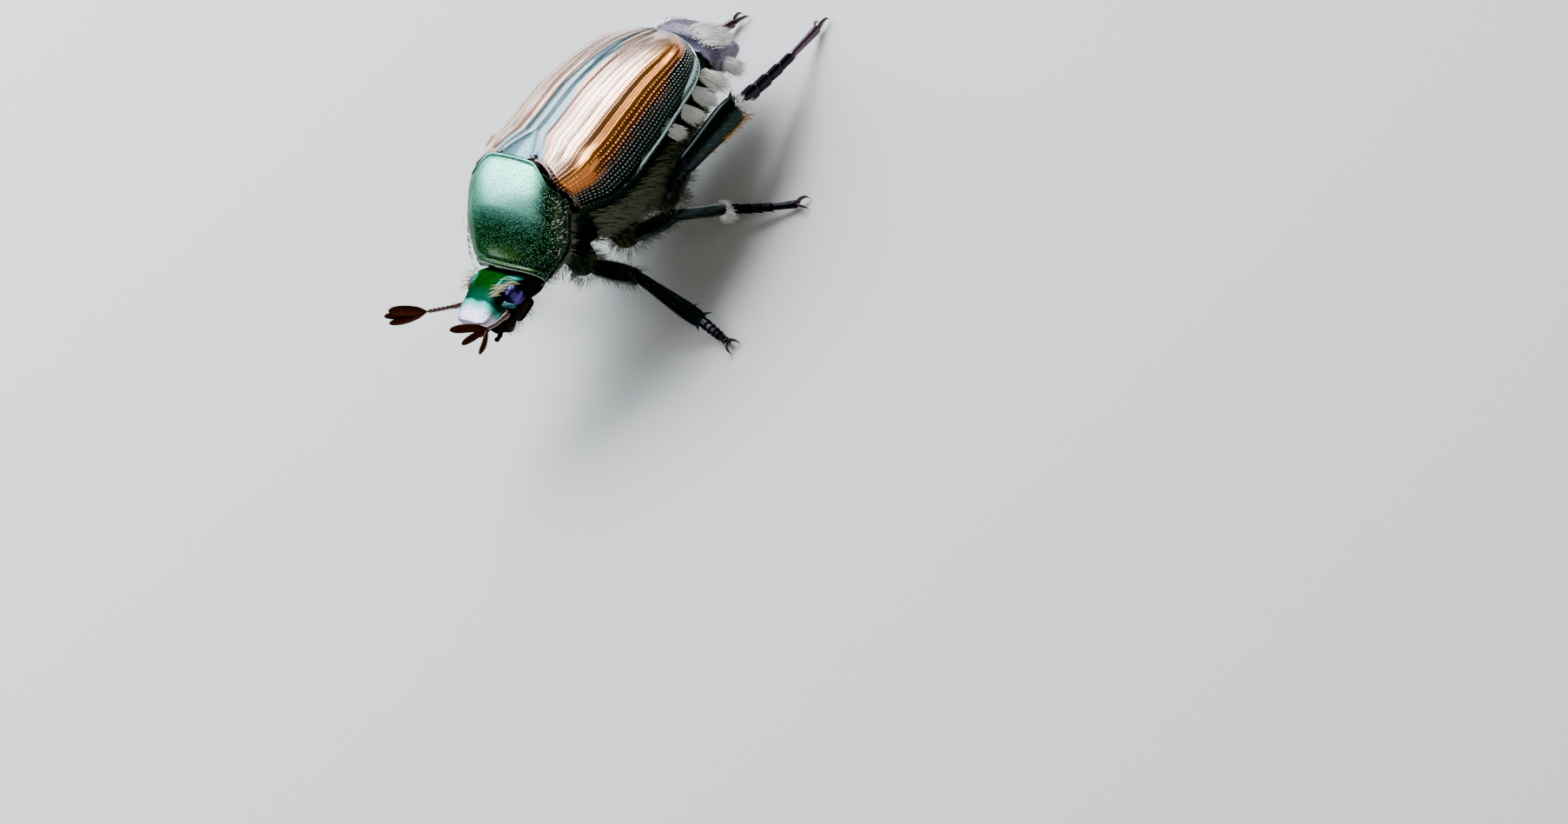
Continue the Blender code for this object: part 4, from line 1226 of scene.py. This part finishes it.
LEGS: dict[str, LegShape] = {
    "fore": LegShape(
        knee=(2.88, -1.52, 1.73),
        ankle=(4.83, -1.84, 0.46),
        toe=(5.95, -2.14, 0.16),
        femur=(0.31, 0.22),
        tibia=(0.15, 0.26, 0.15),
        edge=(0.0, 1.0, 0.3),
        spines=((0.76, 1, 0.6, 0.26), (0.93, 1, 1.0, 0.36), (0.95, -1, 1.2, 0.22)),
        right_step=(-0.30, -0.25),
        foot=(0.17, 0.14),
        spine_slot=0,
        fringe=0,
    ),
    "mid": LegShape(
        knee=(3.45, 0.40, 2.21),
        ankle=(3.33, 1.57, 0.75),
        toe=(5.32, 2.47, 0.16),
        femur=(0.31, 0.22),
        tibia=(0.16, 0.24, 0.17),
        edge=(1.0, 0.2, 0.3),
        spines=((0.45, 1, 0.8, 0.28), (0.93, 1, 1.3, 0.40), (0.93, -1, 1.3, 0.40)),
        right_step=(0.20, 0.30),
        spine_slot=0,
    ),
    "hind": LegShape(
        knee=(3.20, 1.74, 2.70),
        ankle=(2.88, 4.34, 1.98),
        toe=(1.66, 8.02, 0.16),
        femur=(0.42, 0.28),
        tibia=(0.25, 0.42, 0.24),
        edge=(0.3, 0.1, -1.0),
        spines=((0.36, 1, 0.9, 0.22), (0.62, 1, 0.9, 0.26), (0.95, 1, 1.3, 0.36), (0.95, -1, 1.5, 0.30)),
        right_step=(0.35, -0.30),
        foot=(0.23, 0.15),
        bristles=90,
    ),
}


@dataclass(frozen=True)
class Leg:
    """One leg from the hip to the claws."""

    pair: str
    side: Side

    @property
    def tag(self) -> str:
        """The leg's words in the names of nodes and pieces."""
        return f"{self.pair}_{self.side.tag}"

    def shin(self, knee: np.ndarray, ankle: np.ndarray) -> tuple[np.ndarray, np.ndarray]:
        """The way the tibia runs, and the way its outer edge faces."""
        shin = unit(ankle - knee)
        edge = np.array(LEGS[self.pair].edge) * (self.side.value, 1, 1)
        return shin, unit(edge - shin * float(edge @ shin))

    def joints(self, stance: Stance) -> tuple[np.ndarray, ...]:
        """Hip, knee, ankle and toe on the floor's frame."""
        shape = LEGS[self.pair]
        low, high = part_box(f"leg_{self.tag}_coxa")
        places = [(np.array(low) + np.array(high)) / 2 / MM]
        step = np.array((*shape.right_step, 0.0)) * (self.side is Side.RIGHT)
        for joint, share in ((shape.knee, 0.35), (shape.ankle, 0.7), (shape.toe, 1.0)):
            places.append(stance.stand((np.array(joint) + step * share) * (self.side.value, 1, 1)))
        return tuple(places)

    def segment(
        self, solid: Solid, ends: tuple[np.ndarray, ...], broad: np.ndarray | Row, wide: Row, thin: Row
    ) -> None:
        """Add a rounded segment.

        Args:
            solid: what it is added to.
            ends: its near and far end.
            broad: the way its broad side faces.
            wide: half-breadths at even steps along it.
            thin: half-thicknesses at the same steps.
        """
        start, end = ends
        share = np.linspace(0, 1, 44)
        sizes = Stations(tuple(zip(np.linspace(0, 1, len(wide)), wide, thin)))(share)
        sizes = sizes * round_off(2 * share - 1, 16, 0.03)
        path = start + (end - start) * share[:, None]
        solid.tube(path, broad, sizes[0], sizes[1], 26, squareness=2.2)

    def thorn(
        self, solid: Solid, root: np.ndarray, way: np.ndarray, length: float, radius: float, slot: int = 0
    ) -> None:
        """Add a pointed spine, a little curved."""
        share = np.linspace(0, 1, 9)[:, None]
        path = root + way * length * (share - 0.12) - np.array((0, 0, 0.10 * length)) * share**2
        size = radius * np.clip(1 - share[:, 0] ** 1.4, 0.03, 1)
        solid.tube(path, (0.3, 0.2, 1.0), size, size, 10, slot=slot)

    def build(self, stance: Stance, finishes: Finishes) -> None:
        """Build the leg's pieces."""
        shape = LEGS[self.pair]
        hip, knee, ankle, toe = self.joints(stance)
        solid = Solid()
        wide, thin = shape.femur
        widths = (0.18, wide * 0.9, wide, wide * 0.92, 0.24)
        ends = (hip + (knee - hip) * 0.08, knee)
        self.segment(solid, ends, (0.0, 1.0, 0.0), widths, (0.17, thin, thin, thin * 0.95, 0.18))
        ride(solid.make(f"femur_{self.tag}", [finishes.leg]), "dark_leg", f"leg_{self.tag}_femur")

        solid = Solid()
        shin, edge = self.shin(knee, ankle)
        near, apex, flat = shape.tibia
        widths = (near * 1.15, near * 1.3, apex * 0.9, apex, apex * 0.9)
        ends = (knee - shin * 0.14, ankle + shin * 0.03)
        self.segment(solid, ends, edge, widths, (flat * 0.8, flat, flat, flat * 1.05, flat))
        for share, way, lean, length in shape.spines:
            root = knee + (ankle - knee) * share + edge * way * (apex - 0.09)
            slot = shape.spine_slot * (way > 0)
            self.thorn(solid, root, unit(edge * way + shin * lean), length, 0.05, slot)
        tibia = solid.make(f"tibia_{self.tag}", [finishes.leg, finishes.spine])
        ride(tibia, "dark_leg", f"leg_{self.tag}_tibia")
        self.build_foot(ankle, toe, finishes)

    def build_foot(self, ankle: np.ndarray, toe: np.ndarray, finishes: Finishes) -> None:
        """Build the five foot joints and the two claws."""
        first_radius, last_radius = LEGS[self.pair].foot
        share = np.linspace(0, 1, 61)[:, None]
        path = ankle + (toe - ankle) * share - np.array((0, 0, 0.26)) * share * (1 - share)
        path[:, 2] = np.maximum(path[:, 2], last_radius * 0.9)
        solid = Solid()
        ends = (0, 11, 20, 29, 38, 60)
        for i, (first, last) in enumerate(zip(ends, ends[1:])):
            part = curve(path[first : last + 1], 22)
            part = part - unit(part[1] - part[0]) * 0.03
            t = np.linspace(0, 1, 22)
            radius = first_radius + (last_radius - first_radius) * min(i / 3, 1)
            flare = 0.84 + 0.16 * t**0.8 if i < 4 else 0.70 + 0.24 * t**1.5
            size = radius * flare * round_off(2 * t - 1, 20, 0.05)
            solid.tube(part, (0.0, 0.0, 1.0), size, size, slot=2 * (i == 4 and self.pair == "hind"))
            run = unit(part[-1] - part[0])
            for aside in (-1, 1) if i < 4 else ():
                across = unit(np.cross(run, (0, 0, 1))) * aside
                root = part[-1] - run * 0.06 + across * radius * 0.6 - np.array((0, 0, 0.08))
                self.thorn(solid, root, unit(run + across * 0.5), 0.18, 0.022)
        foot = solid.make(f"foot_{self.tag}", [finishes.foot, finishes.spine, finishes.toe])
        ride(foot, "dark_leg", f"leg_{self.tag}_tarsus")
        claws = Solid()
        run = unit((path[-1] - path[-8]) * (1, 1, 0))
        across = np.cross(run, (0, 0, 1.0))
        for aside, reach in ((-1, 0.36), (1, 0.42)):
            base = path[-1] - run * 0.05
            points = [
                base,
                base + run * reach * 0.35 + across * aside * 0.12 + (0, 0, 0.05),
                base + run * reach * 0.85 + across * aside * 0.19 - (0, 0, 0.02),
                base + run * reach + across * aside * 0.18,
            ]
            points[-1][2] = 0.012
            line = curve(points, 20)
            size = 0.06 * np.clip(1 - np.linspace(0, 1, 20) ** 2.2, 0.05, 1)
            claws.tube(line, (0.0, 0.0, 1.0), size * 1.2, size * 0.8, 12)
        ride(claws.make(f"claws_{self.tag}", [finishes.claw]), "dark_leg")


# Hair


def unwrap(y: np.ndarray, turn: np.ndarray) -> np.ndarray:
    """Roots on the unwrap of the skin, from their places along the body and round it."""
    return np.stack([(y + 6) / 13, turn], -1)


@dataclass
class Coat:
    """Hairs of one region, each a thin tapered thread with its root in the skin."""

    name: str
    finish: bpy.types.Material
    seed: int
    slot: str = "dark_body"
    radius: float = 0.011
    points: list[np.ndarray] = field(default_factory=list)
    maps: list[np.ndarray] = field(default_factory=list)

    def __post_init__(self) -> None:
        """Seed the region's own draw."""
        self.draw = np.random.default_rng(self.seed)

    def grow(
        self,
        roots: np.ndarray,
        ways: np.ndarray,
        lengths: np.ndarray,
        bend: Row,
        places: np.ndarray,
        spread: float,
    ) -> None:
        """Add hairs.

        Args:
            roots: root points.
            ways: directions at the root.
            lengths: lengths.
            bend: how far a hair of length 1 bends by its tip, and which way.
            places: roots on the unwrap of the skin.
            spread: how far directions stray.
        """
        count = len(roots)
        ways = unit(ways + self.draw.normal(0, spread, (count, 3)))
        bends = np.array(bend) + self.draw.normal(0, spread * 0.6, (count, 3))
        across = unit(np.cross(ways, self.draw.normal(0, 1, (count, 3))))
        other = np.cross(ways, across)
        rings = []
        for share, size in ((-0.1, 1.0), (0.35, 0.9), (0.7, 0.6)):
            middle = roots + (ways * share + bends * share * abs(share)) * lengths[:, None]
            for turn in (0.0, 2.094, 4.189):  # thirds of a circle
                reach = across * math.cos(turn) + other * math.sin(turn)
                rings.append(middle + reach * self.radius * size)
        rings.append(roots + (ways + bends) * lengths[:, None])
        self.points.append(np.stack(rings, axis=1))
        self.maps.append(places)

    def build(self) -> None:
        """Make the region's piece: each hair has three rings of three points and a tip."""
        points = np.concatenate(self.points)
        places = np.concatenate(self.maps)
        faces = []
        for first in (0, 3):
            for i in range(3):
                a, b = first + i, first + (i + 1) % 3
                faces += [(a, b, b + 3), (a, b + 3, a + 3)]
        faces += [(6 + i, 6 + (i + 1) % 3, 9) for i in range(3)]
        every = (np.arange(len(points))[:, None, None] * 10 + np.array(faces)[None]).reshape(-1, 3)
        mesh = bpy.data.meshes.new(self.name)
        mesh.from_pydata((points.reshape(-1, 3) * MM).tolist(), [], every.tolist())
        patch = np.array([(i % 3 * 0.001, i // 3 * 0.001) for i in range(10)])
        corners = np.clip(places, 0.0, 0.997)[:, None] + patch[None]
        layer = mesh.uv_layers.new(name="OFBake")
        layer.data.foreach_set("uv", corners.reshape(-1, 2)[every.ravel()].astype(np.float32).ravel())
        mesh.materials.append(self.finish)
        mesh.shade_smooth()
        piece = bpy.data.objects.new(self.name, mesh)
        bpy.context.scene.collection.objects.link(piece)
        ride(piece, self.slot)


@dataclass(frozen=True)
class Stretch:
    """A stretch of the left side where hair grows, and how it grows there."""

    along: Row  # places along the body
    turn: Row  # angles round it
    way: Row  # the way that the hair leans
    outward: float  # share of the outward direction in that way
    lengths: Row  # shortest and longest hair
    bend: Row  # how far a hair of length 1 bends by its tip
    spread: float  # how far directions stray
    count: int


@dataclass(frozen=True)
class Coats:
    """All the hair of the beetle."""

    trunk: Trunk
    head: Head
    shield: Pronotum
    # place along the body, share of the way round the flank, length
    side_tufts: tuple[Row, ...] = (
        (2.15, 0.10, 0.50),
        (2.84, 0.10, 0.70),
        (3.52, 0.10, 0.82),
        (4.10, 0.10, 0.98),
    )
    tuft_hairs: int = 210
    tuft_oval: tuple[Row, ...] = ((0.03, 0.20, 0.03), (0.05, -0.03, 0.12))  # half-axes of its root
    last_tuft: Row = (5.0, 2.36, 0.78)  # beside the pygidium: place along the body, height, length
    patch_centre: Row = (5.42, 0.78)  # of the white patch on the pygidium: place along the body, angle
    patch_reach: Row = (0.46, 0.50)  # its half-axes
    patch_hairs: int = 620
    pile_hairs: int = 4200
    fringe_hairs: int = 170
    chin_hairs: int = 220
    breast: Stretch = Stretch(
        (-1.3, 1.9), (0.16, 1.2), (0.30, 0.62, -0.30), 0.5, (0.30, 0.62), (0, 0.08, -0.16), 0.16, 1500
    )
    belly: Stretch = Stretch(
        (1.9, 4.6), (0.25, 1.5), (0.1, 0.9, -0.1), 0.5, (0.14, 0.26), (0, 0.08, -0.16), 0.16, 900
    )
    brow: Stretch = Stretch(
        (-4.42, -3.86), (0.42, 0.85), (0.05, -0.60, 0.62), 0.0, (0.26, 0.50), (0, -0.12, -0.08), 0.14, 38
    )
    bristles: Stretch = Stretch(
        (-3.0, -1.62), (0.16, 0.56), (0.40, 0.65, -0.10), 0.0, (0.05, 0.11), (0, 0, 0), 0.10, 56
    )

    def tuft(
        self, coat: Coat, stance: Stance, side: Side, centre: np.ndarray, way: Row, length: float
    ) -> None:
        """Add a dense oval brush of hair.

        Args:
            coat: the coat that it joins.
            stance: where the body stands.
            side: the side of the body.
            centre: middle of its root on the left side, in the body's frame.
            way: the way that it lies there.
            length: length of its hairs.
        """
        mirror = np.array((side.value, 1, 1))
        reach = np.sqrt(coat.draw.uniform(0, 1, self.tuft_hairs))
        turn = coat.draw.uniform(0, 2 * math.pi, self.tuft_hairs)
        oval = np.array(self.tuft_oval) * mirror
        spots = np.stack([reach * np.cos(turn), reach * np.sin(turn)], -1) @ oval
        roots = centre * mirror + spots
        ways = unit(unit(np.array(way)) * mirror + 0.30 * spots)
        lengths = length * (1 - 0.3 * reach**2) * coat.draw.uniform(0.8, 1.1, self.tuft_hairs)
        places = unwrap(roots[:, 1], (roots[:, 0] + 3) / 6)
        coat.grow(stance.place(roots), stance.turn(ways), lengths, (0, 0, -0.10), places, 0.09)

    def build_tufts(self, stance: Stance, finishes: Finishes) -> None:
        """Build the white tufts along the belly and on the pygidium."""
        for side in Side:
            coat = Coat(f"white_tufts_{side.tag}", finishes.white_hair, 11 + side.value, radius=0.017)
            for y, turn, length in self.side_tufts:
                root = self.trunk.flank(np.array(y), np.array(turn)) - (0.06, 0, 0)
                self.tuft(coat, stance, side, root, (0.80, 0.08, -0.52), length)
            y, height, length = self.last_tuft
            root = np.array((Stations(self.trunk.pygidium)(y)[0] - 0.12, y, height))
            self.tuft(coat, stance, side, root, (0.80, 0.10, -0.50), length)
            y = self.patch_centre[0] + coat.draw.uniform(-1, 1, self.patch_hairs) * self.patch_reach[0]
            angle = self.patch_centre[1] + coat.draw.uniform(-1, 1, self.patch_hairs) * self.patch_reach[1]
            inside = self.patch(y, angle) < coat.draw.uniform(0.7, 1.1, self.patch_hairs)
            y, angle = y[inside], angle[inside]
            mirror = np.array((side.value, 1, 1))
            roots = stance.place(self.trunk.pygidium_at(y, angle) * mirror)
            ways = stance.turn(unit(np.array((0.42, 0.60, -0.20))) * mirror + 0 * roots)
            lengths = coat.draw.uniform(0.24, 0.38, len(y))
            coat.grow(roots, ways, lengths, (0, 0, -0.2), unwrap(y, (angle + 1) / 6), 0.09)
            coat.build()

    def patch(self, y: np.ndarray, angle: np.ndarray) -> np.ndarray:
        """How far a place on the pygidium is from the middle of its white patch, which reaches to 1."""
        aside = math.pi / 2 - np.abs(angle - math.pi / 2)
        ahead = (y - self.patch_centre[0]) / self.patch_reach[0]
        return ahead**2 + ((aside - self.patch_centre[1]) / self.patch_reach[1]) ** 2

    def shield_top(self, y: np.ndarray, angle: np.ndarray) -> np.ndarray:
        """Points just over the shield."""
        return self.shield.arch(y, angle, 0.01)

    def scatter(self, coat: Coat, stance: Stance, side: Side, surface: Callable, stretch: Stretch) -> None:
        """Scatter hair over a stretch of the body.

        Args:
            coat: the coat that it joins.
            stance: where the body stands.
            side: the side of the body.
            surface: gives the points at places along the body and angles round it.
            stretch: where it grows, and how.
        """
        mirror = np.array((side.value, 1, 1))
        y = coat.draw.uniform(*stretch.along, stretch.count)
        angle = coat.draw.uniform(*stretch.turn, stretch.count)
        outward = np.stack([np.cos(angle), 0 * y, -np.sin(angle)], -1)
        ways = stance.turn(unit(outward * stretch.outward + stretch.way) * mirror)
        roots = stance.place(surface(y, angle) * mirror)
        lengths = coat.draw.uniform(*stretch.lengths, stretch.count)
        coat.grow(roots, ways, lengths, stretch.bend, unwrap(y, angle / 7), stretch.spread)

    def build_pile(self, stance: Stance, finishes: Finishes) -> None:
        """Build the long grey hair of the breast and the short pile of belly and pygidium."""
        for side in Side:
            coat = Coat(f"breast_hair_{side.tag}", finishes.grey_hair, 31 + side.value, radius=0.008)
            self.scatter(coat, stance, side, self.trunk.flank, self.breast)
            self.scatter(coat, stance, side, self.trunk.flank, self.belly)
            coat.build()
        coat = Coat("pygidium_pile", finishes.lilac_down, 41, radius=0.006)
        y = coat.draw.uniform(4.72, 6.1, self.pile_hairs)
        angle = coat.draw.uniform(-0.5, math.pi + 0.5, self.pile_hairs)
        bare = self.patch(y, angle) > 0.9
        y, angle = y[bare], angle[bare]
        outward = unit(np.stack([np.cos(angle), 0.3 + 0 * y, np.sin(angle)], -1))
        ways = stance.turn(unit(outward * 0.10 + (0.0, 0.62, -0.62)))
        lengths = coat.draw.uniform(0.07, 0.13, len(y))
        roots = stance.place(self.trunk.pygidium_at(y, angle))
        coat.grow(roots, ways, lengths, (0, 0, 0), unwrap(y, (angle + 1) / 6), 0.08)
        coat.build()

    def build_head_hair(self, stance: Stance, finishes: Finishes) -> None:
        """Build the pale bristles of head and shield, the shield's fringe and the chin's beard."""
        for side in Side:
            tag, sign = side.tag, side.value
            coat = Coat(f"brow_hair_{tag}", finishes.yellow_hair, 51 + sign, "green_shell", 0.010)
            self.scatter(coat, stance, side, self.head.surface, self.brow)
            coat.build()
            coat = Coat(f"shield_fringe_{tag}", finishes.grey_hair, 57 + sign, "green_shell", 0.007)
            y = coat.draw.uniform(-3.6, -1.8, self.fringe_hairs)
            mirror = np.array((sign, 1, 1))
            edge = self.shield.arch(y, 0.04 + 0 * y, -0.04) * mirror
            ways = stance.turn(unit(np.array((0.45, 0.30, -0.85))) * mirror + 0 * edge)
            lengths = coat.draw.uniform(0.14, 0.34, self.fringe_hairs)
            coat.grow(stance.place(edge), ways, lengths, (0, 0.1, -0.2), unwrap(y, 0 * y + 0.02), 0.2)
            coat.build()
            coat = Coat(f"shield_bristles_{tag}", finishes.white_hair, 71 + sign, "green_shell", 0.007)
            self.scatter(coat, stance, side, self.shield_top, self.bristles)
            coat.build()
        coat = Coat("chin_hair", finishes.grey_hair, 61, "brown_feelers", 0.007)
        strays = coat.draw.uniform(-1, 1, (self.chin_hairs, 3)) * (0.70, 0.45, 0.10)
        roots = np.array((0.0, -4.3, 1.44)) + strays
        ways = unit(roots * (0.8, 0, 0) - (0, 0.25, 1))
        lengths = coat.draw.uniform(0.16, 0.32, self.chin_hairs)
        places = unwrap(roots[:, 1], (roots[:, 0] + 3) / 6)
        coat.grow(stance.place(roots), stance.turn(ways), lengths, (0, 0, 0), places, 0.2)
        coat.build()

    def ring_hair(
        self,
        coat: Coat,
        ends: tuple[np.ndarray, ...],
        radius: float,
        span: Row,
        lean: float,
        lengths: Row,
        count: int,
    ) -> None:
        """Scatter hair round a limb, longest below.

        Args:
            coat: the coat that it joins.
            ends: near and far end of the limb.
            radius: how far from its middle the hair starts.
            span: the stretch of the limb, as shares of its length.
            lean: how much the hair leans along it.
            lengths: shortest and longest hair.
            count: number of hairs.
        """
        start, end = ends
        share = coat.draw.uniform(*span, count)[:, None]
        turn = coat.draw.uniform(0, 2 * math.pi, count)[:, None]
        run = unit(end - start)
        across = unit(np.cross(run, (0.1, 0.2, 1.0)))
        spoke = across * np.cos(turn) + np.cross(across, run) * np.sin(turn)
        roots = start + (end - start) * share + spoke * radius
        long = coat.draw.uniform(*lengths, count) * (0.55 + 0.45 * (spoke[:, 2] < 0.2))
        places = np.concatenate([share, turn / 7], axis=1)
        coat.grow(roots, unit(spoke + run * lean), long, (0, 0, -0.15), places, 0.15)

    def build_leg_hair(self, stance: Stance, finishes: Finishes, leg: Leg, seed: int) -> None:
        """Build the hair of a leg: pale on hip and femur, amber bristles and a white fringe on the tibia."""
        hip, knee, ankle, _ = leg.joints(stance)
        shape = LEGS[leg.pair]
        coat = Coat(f"leg_hair_{leg.tag}", finishes.grey_hair, seed, "dark_leg", 0.007)
        up = stance.turn(np.array([0.0, 0.0, 1.0]))
        shin_radius = 0.9 * shape.tibia[2]
        self.ring_hair(coat, (hip + up * 0.5, hip - up * 0.3), 0.40, (0.0, 1.0), 0.4, (0.2, 0.45), 500)
        self.ring_hair(coat, (hip, knee), 0.9 * shape.femur[1], (0.1, 0.95), 0.9, (0.2, 0.46), 420)
        self.ring_hair(coat, (knee, ankle), shin_radius, (0.1, 0.9), 1.4, (0.1, 0.22), 160)
        coat.build()
        if shape.fringe:
            coat = Coat(f"shin_fringe_{leg.tag}", finishes.white_hair, seed + 2, "dark_leg", 0.014)
            self.ring_hair(coat, (knee, ankle), shin_radius, (0.86, 0.99), 0.9, (0.22, 0.38), shape.fringe)
            coat.build()
        if not shape.bristles:
            return
        coat = Coat(f"bristles_{leg.tag}", finishes.spine, seed + 1, "dark_leg", 0.016)
        shin, edge = leg.shin(knee, ankle)
        share = coat.draw.uniform(0.35, 1.0, shape.bristles)[:, None] ** 0.7
        aside = coat.draw.normal(0, 0.30, shape.bristles)[:, None] * np.cross(edge, shin)
        width = shape.tibia[0] + (shape.tibia[1] - shape.tibia[0]) * share
        spoke = unit(edge + aside)
        roots = knee + (ankle - knee) * share + spoke * width * 0.85
        places = np.concatenate([share, 0.5 + aside[:, :1] * 0.2], axis=1)
        lengths = coat.draw.uniform(0.16, 0.36, shape.bristles)
        coat.grow(roots, unit(spoke + shin * 0.8), lengths, (0, 0, 0), places, 0.12)
        coat.build()

    def build(self, stance: Stance, finishes: Finishes, legs: list[Leg]) -> None:
        """Build every coat."""
        self.build_tufts(stance, finishes)
        self.build_pile(stance, finishes)
        self.build_head_hair(stance, finishes)
        for i, leg in enumerate(legs):
            self.build_leg_hair(stance, finishes, leg, 100 + 10 * i)


@dataclass(frozen=True)
class Studio:
    """A pale paper floor, soft lights and the camera."""

    right: tuple[float, float, float] = (0.584, 0.514, -0.629)
    up: tuple[float, float, float] = (-0.131, 0.824, 0.551)
    pivot: tuple[float, float, float] = (0.0, 0.421, 3.650)
    distance: float = 190.0
    pivot_pixel: tuple[float, float] = (659.3, 196.2)
    image: tuple[int, int] = (1805, 948)
    scale: float = 40.42  # pixels for a millimetre at the pivot
    ambient: float = 0.24  # strength of the even light from all round
    ambient_colour: str = "#dfe4e8"
    floor_reach: float = 400.0
    target: Row = (0.0, 0.0, 0.003)  # what the lights face, in metres
    # name, place and side of the square in metres, power in watts, colour
    lights: tuple[tuple[str, Row, float, float, str], ...] = (
        ("sky_panel", (-0.115, 0.070, 0.145), 0.27, 0.50, "#e6f0ff"),
        ("rear_window", (-0.096, 0.104, 0.140), 0.12, 0.95, "#f4f8ff"),
        ("front_window", (-0.148, -0.006, 0.140), 0.17, 1.1, "#eaf4ff"),
        ("front_panel", (0.20, -0.11, 0.13), 0.32, 0.34, "#fff8f0"),
    )

    def camera(self, stance: Stance) -> None:
        """Set up the camera at the photograph's angle and framing."""
        right = Vector(self.right).normalized()
        up = Vector(self.up)
        up = (up - up.project(right)).normalized()
        toward = right.cross(up)
        pivot = Vector(stance.stand(np.array(self.pivot)))
        focal = self.scale * self.distance
        ahead = -toward * focal
        ahead += right * (self.image[0] / 2 - self.pivot_pixel[0])
        ahead -= up * (self.image[1] / 2 - self.pivot_pixel[1])
        ahead.normalize()
        side = (right - right.project(ahead)).normalized()
        data = bpy.data.cameras.new("camera")
        data.sensor_width = 36.0
        data.lens = focal / self.image[0] * data.sensor_width
        data.clip_start, data.clip_end = 0.001, 10.0
        camera = bpy.data.objects.new("camera", data)
        axes = Matrix((side, side.cross(ahead), ahead * -1)).transposed()
        camera.matrix_world = Matrix.Translation((pivot + toward * self.distance) * MM) @ axes.to_4x4()
        bpy.context.scene.collection.objects.link(camera)
        bpy.context.scene.camera = camera

    def light(self, name: str, place: Row, size: float, watts: float, colour: str) -> None:
        """Add a soft square light that faces the beetle.

        Args:
            name: name of the light.
            place: where it stands, in metres.
            size: side of the square, in metres.
            watts: its power.
            colour: its colour.
        """
        data = bpy.data.lights.new(name, "AREA")
        data.shape = "SQUARE"
        data.size = size
        data.energy = watts
        data.color = linear(colour)[:3]
        lamp = bpy.data.objects.new(name, data)
        lamp.location = place
        lamp.rotation_mode = "QUATERNION"
        lamp.rotation_quaternion = (Vector(self.target) - Vector(place)).to_track_quat("-Z", "Y")
        bpy.context.scene.collection.objects.link(lamp)

    def build(self, stance: Stance, finishes: Finishes) -> None:
        """Set up the floor, the lights and the camera."""
        solid = Solid()
        line = np.linspace(-self.floor_reach, self.floor_reach, 9)
        x, y = np.meshgrid(line, line)
        solid.loft(np.stack([x, y, 0 * x], -1), closed=False)
        floor = solid.make("floor", [finishes.floor])
        LOG.info("%s: stage", floor.name)
        world = bpy.data.worlds.new("studio")
        world.use_nodes = True
        background = world.node_tree.nodes["Background"]
        background.inputs["Color"].default_value = linear(self.ambient_colour)
        background.inputs["Strength"].default_value = self.ambient
        bpy.context.scene.world = world
        bpy.context.scene.view_settings.look = "AgX - Punchy"
        for light in self.lights:
            self.light(*light)
        self.camera(stance)


LEFT_ANTENNA = Antenna(
    Side.LEFT,
    stalk=((0.98, -4.62, 2.22), (1.16, -4.78, 2.24), (1.12, -5.06, 2.27), (0.88, -5.38, 2.28)),
    tips=((0.22, -6.04, 2.80), (0.50, -6.14, 2.36), (0.86, -6.06, 1.92)),
    bends=((0.0, 0.0, 0.04), (0.0, 0.0, 0.0), (0.16, -0.10, 0.02)),
)
RIGHT_ANTENNA = Antenna(
    Side.RIGHT,
    stalk=((0.80, -4.66, 2.20), (1.12, -4.86, 2.24), (1.26, -5.16, 2.42), (1.52, -5.56, 2.66)),
    tips=((1.98, -6.28, 3.40), (2.12, -6.44, 3.30), (1.96, -6.52, 3.12)),
    bends=((0.0, 0.0, 0.03), (0.0, 0.0, 0.0), (0.0, 0.0, -0.05)),
    leaf_half_widths=(0.15, 0.13, 0.12),
)


def main() -> None:
    """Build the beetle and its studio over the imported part."""
    logging.basicConfig(level=logging.INFO, format="%(message)s")
    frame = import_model()
    LOG.info("frame with %d nodes", len(frame["nodes"]))
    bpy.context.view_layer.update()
    stance = Stance.from_frame()
    finishes = Finishes.make()
    cases, shield, head = WingCases(), Pronotum(), Head()
    trunk = Trunk(cases, shield)
    legs = [Leg(pair, side) for pair in LEGS for side in Side]
    cases.build(stance, finishes)
    shield.build(stance, finishes)
    Scutellum(cases).build(stance, finishes)
    trunk.build(stance, finishes, [leg.joints(stance)[0] for leg in legs])
    head.build(stance, finishes)
    LEFT_ANTENNA.build(stance, finishes)
    RIGHT_ANTENNA.build(stance, finishes)
    for leg in legs:
        leg.build(stance, finishes)
    Coats(trunk, head, shield).build(stance, finishes, legs)
    Studio().build(stance, finishes)


if __name__ == "__main__":
    main()
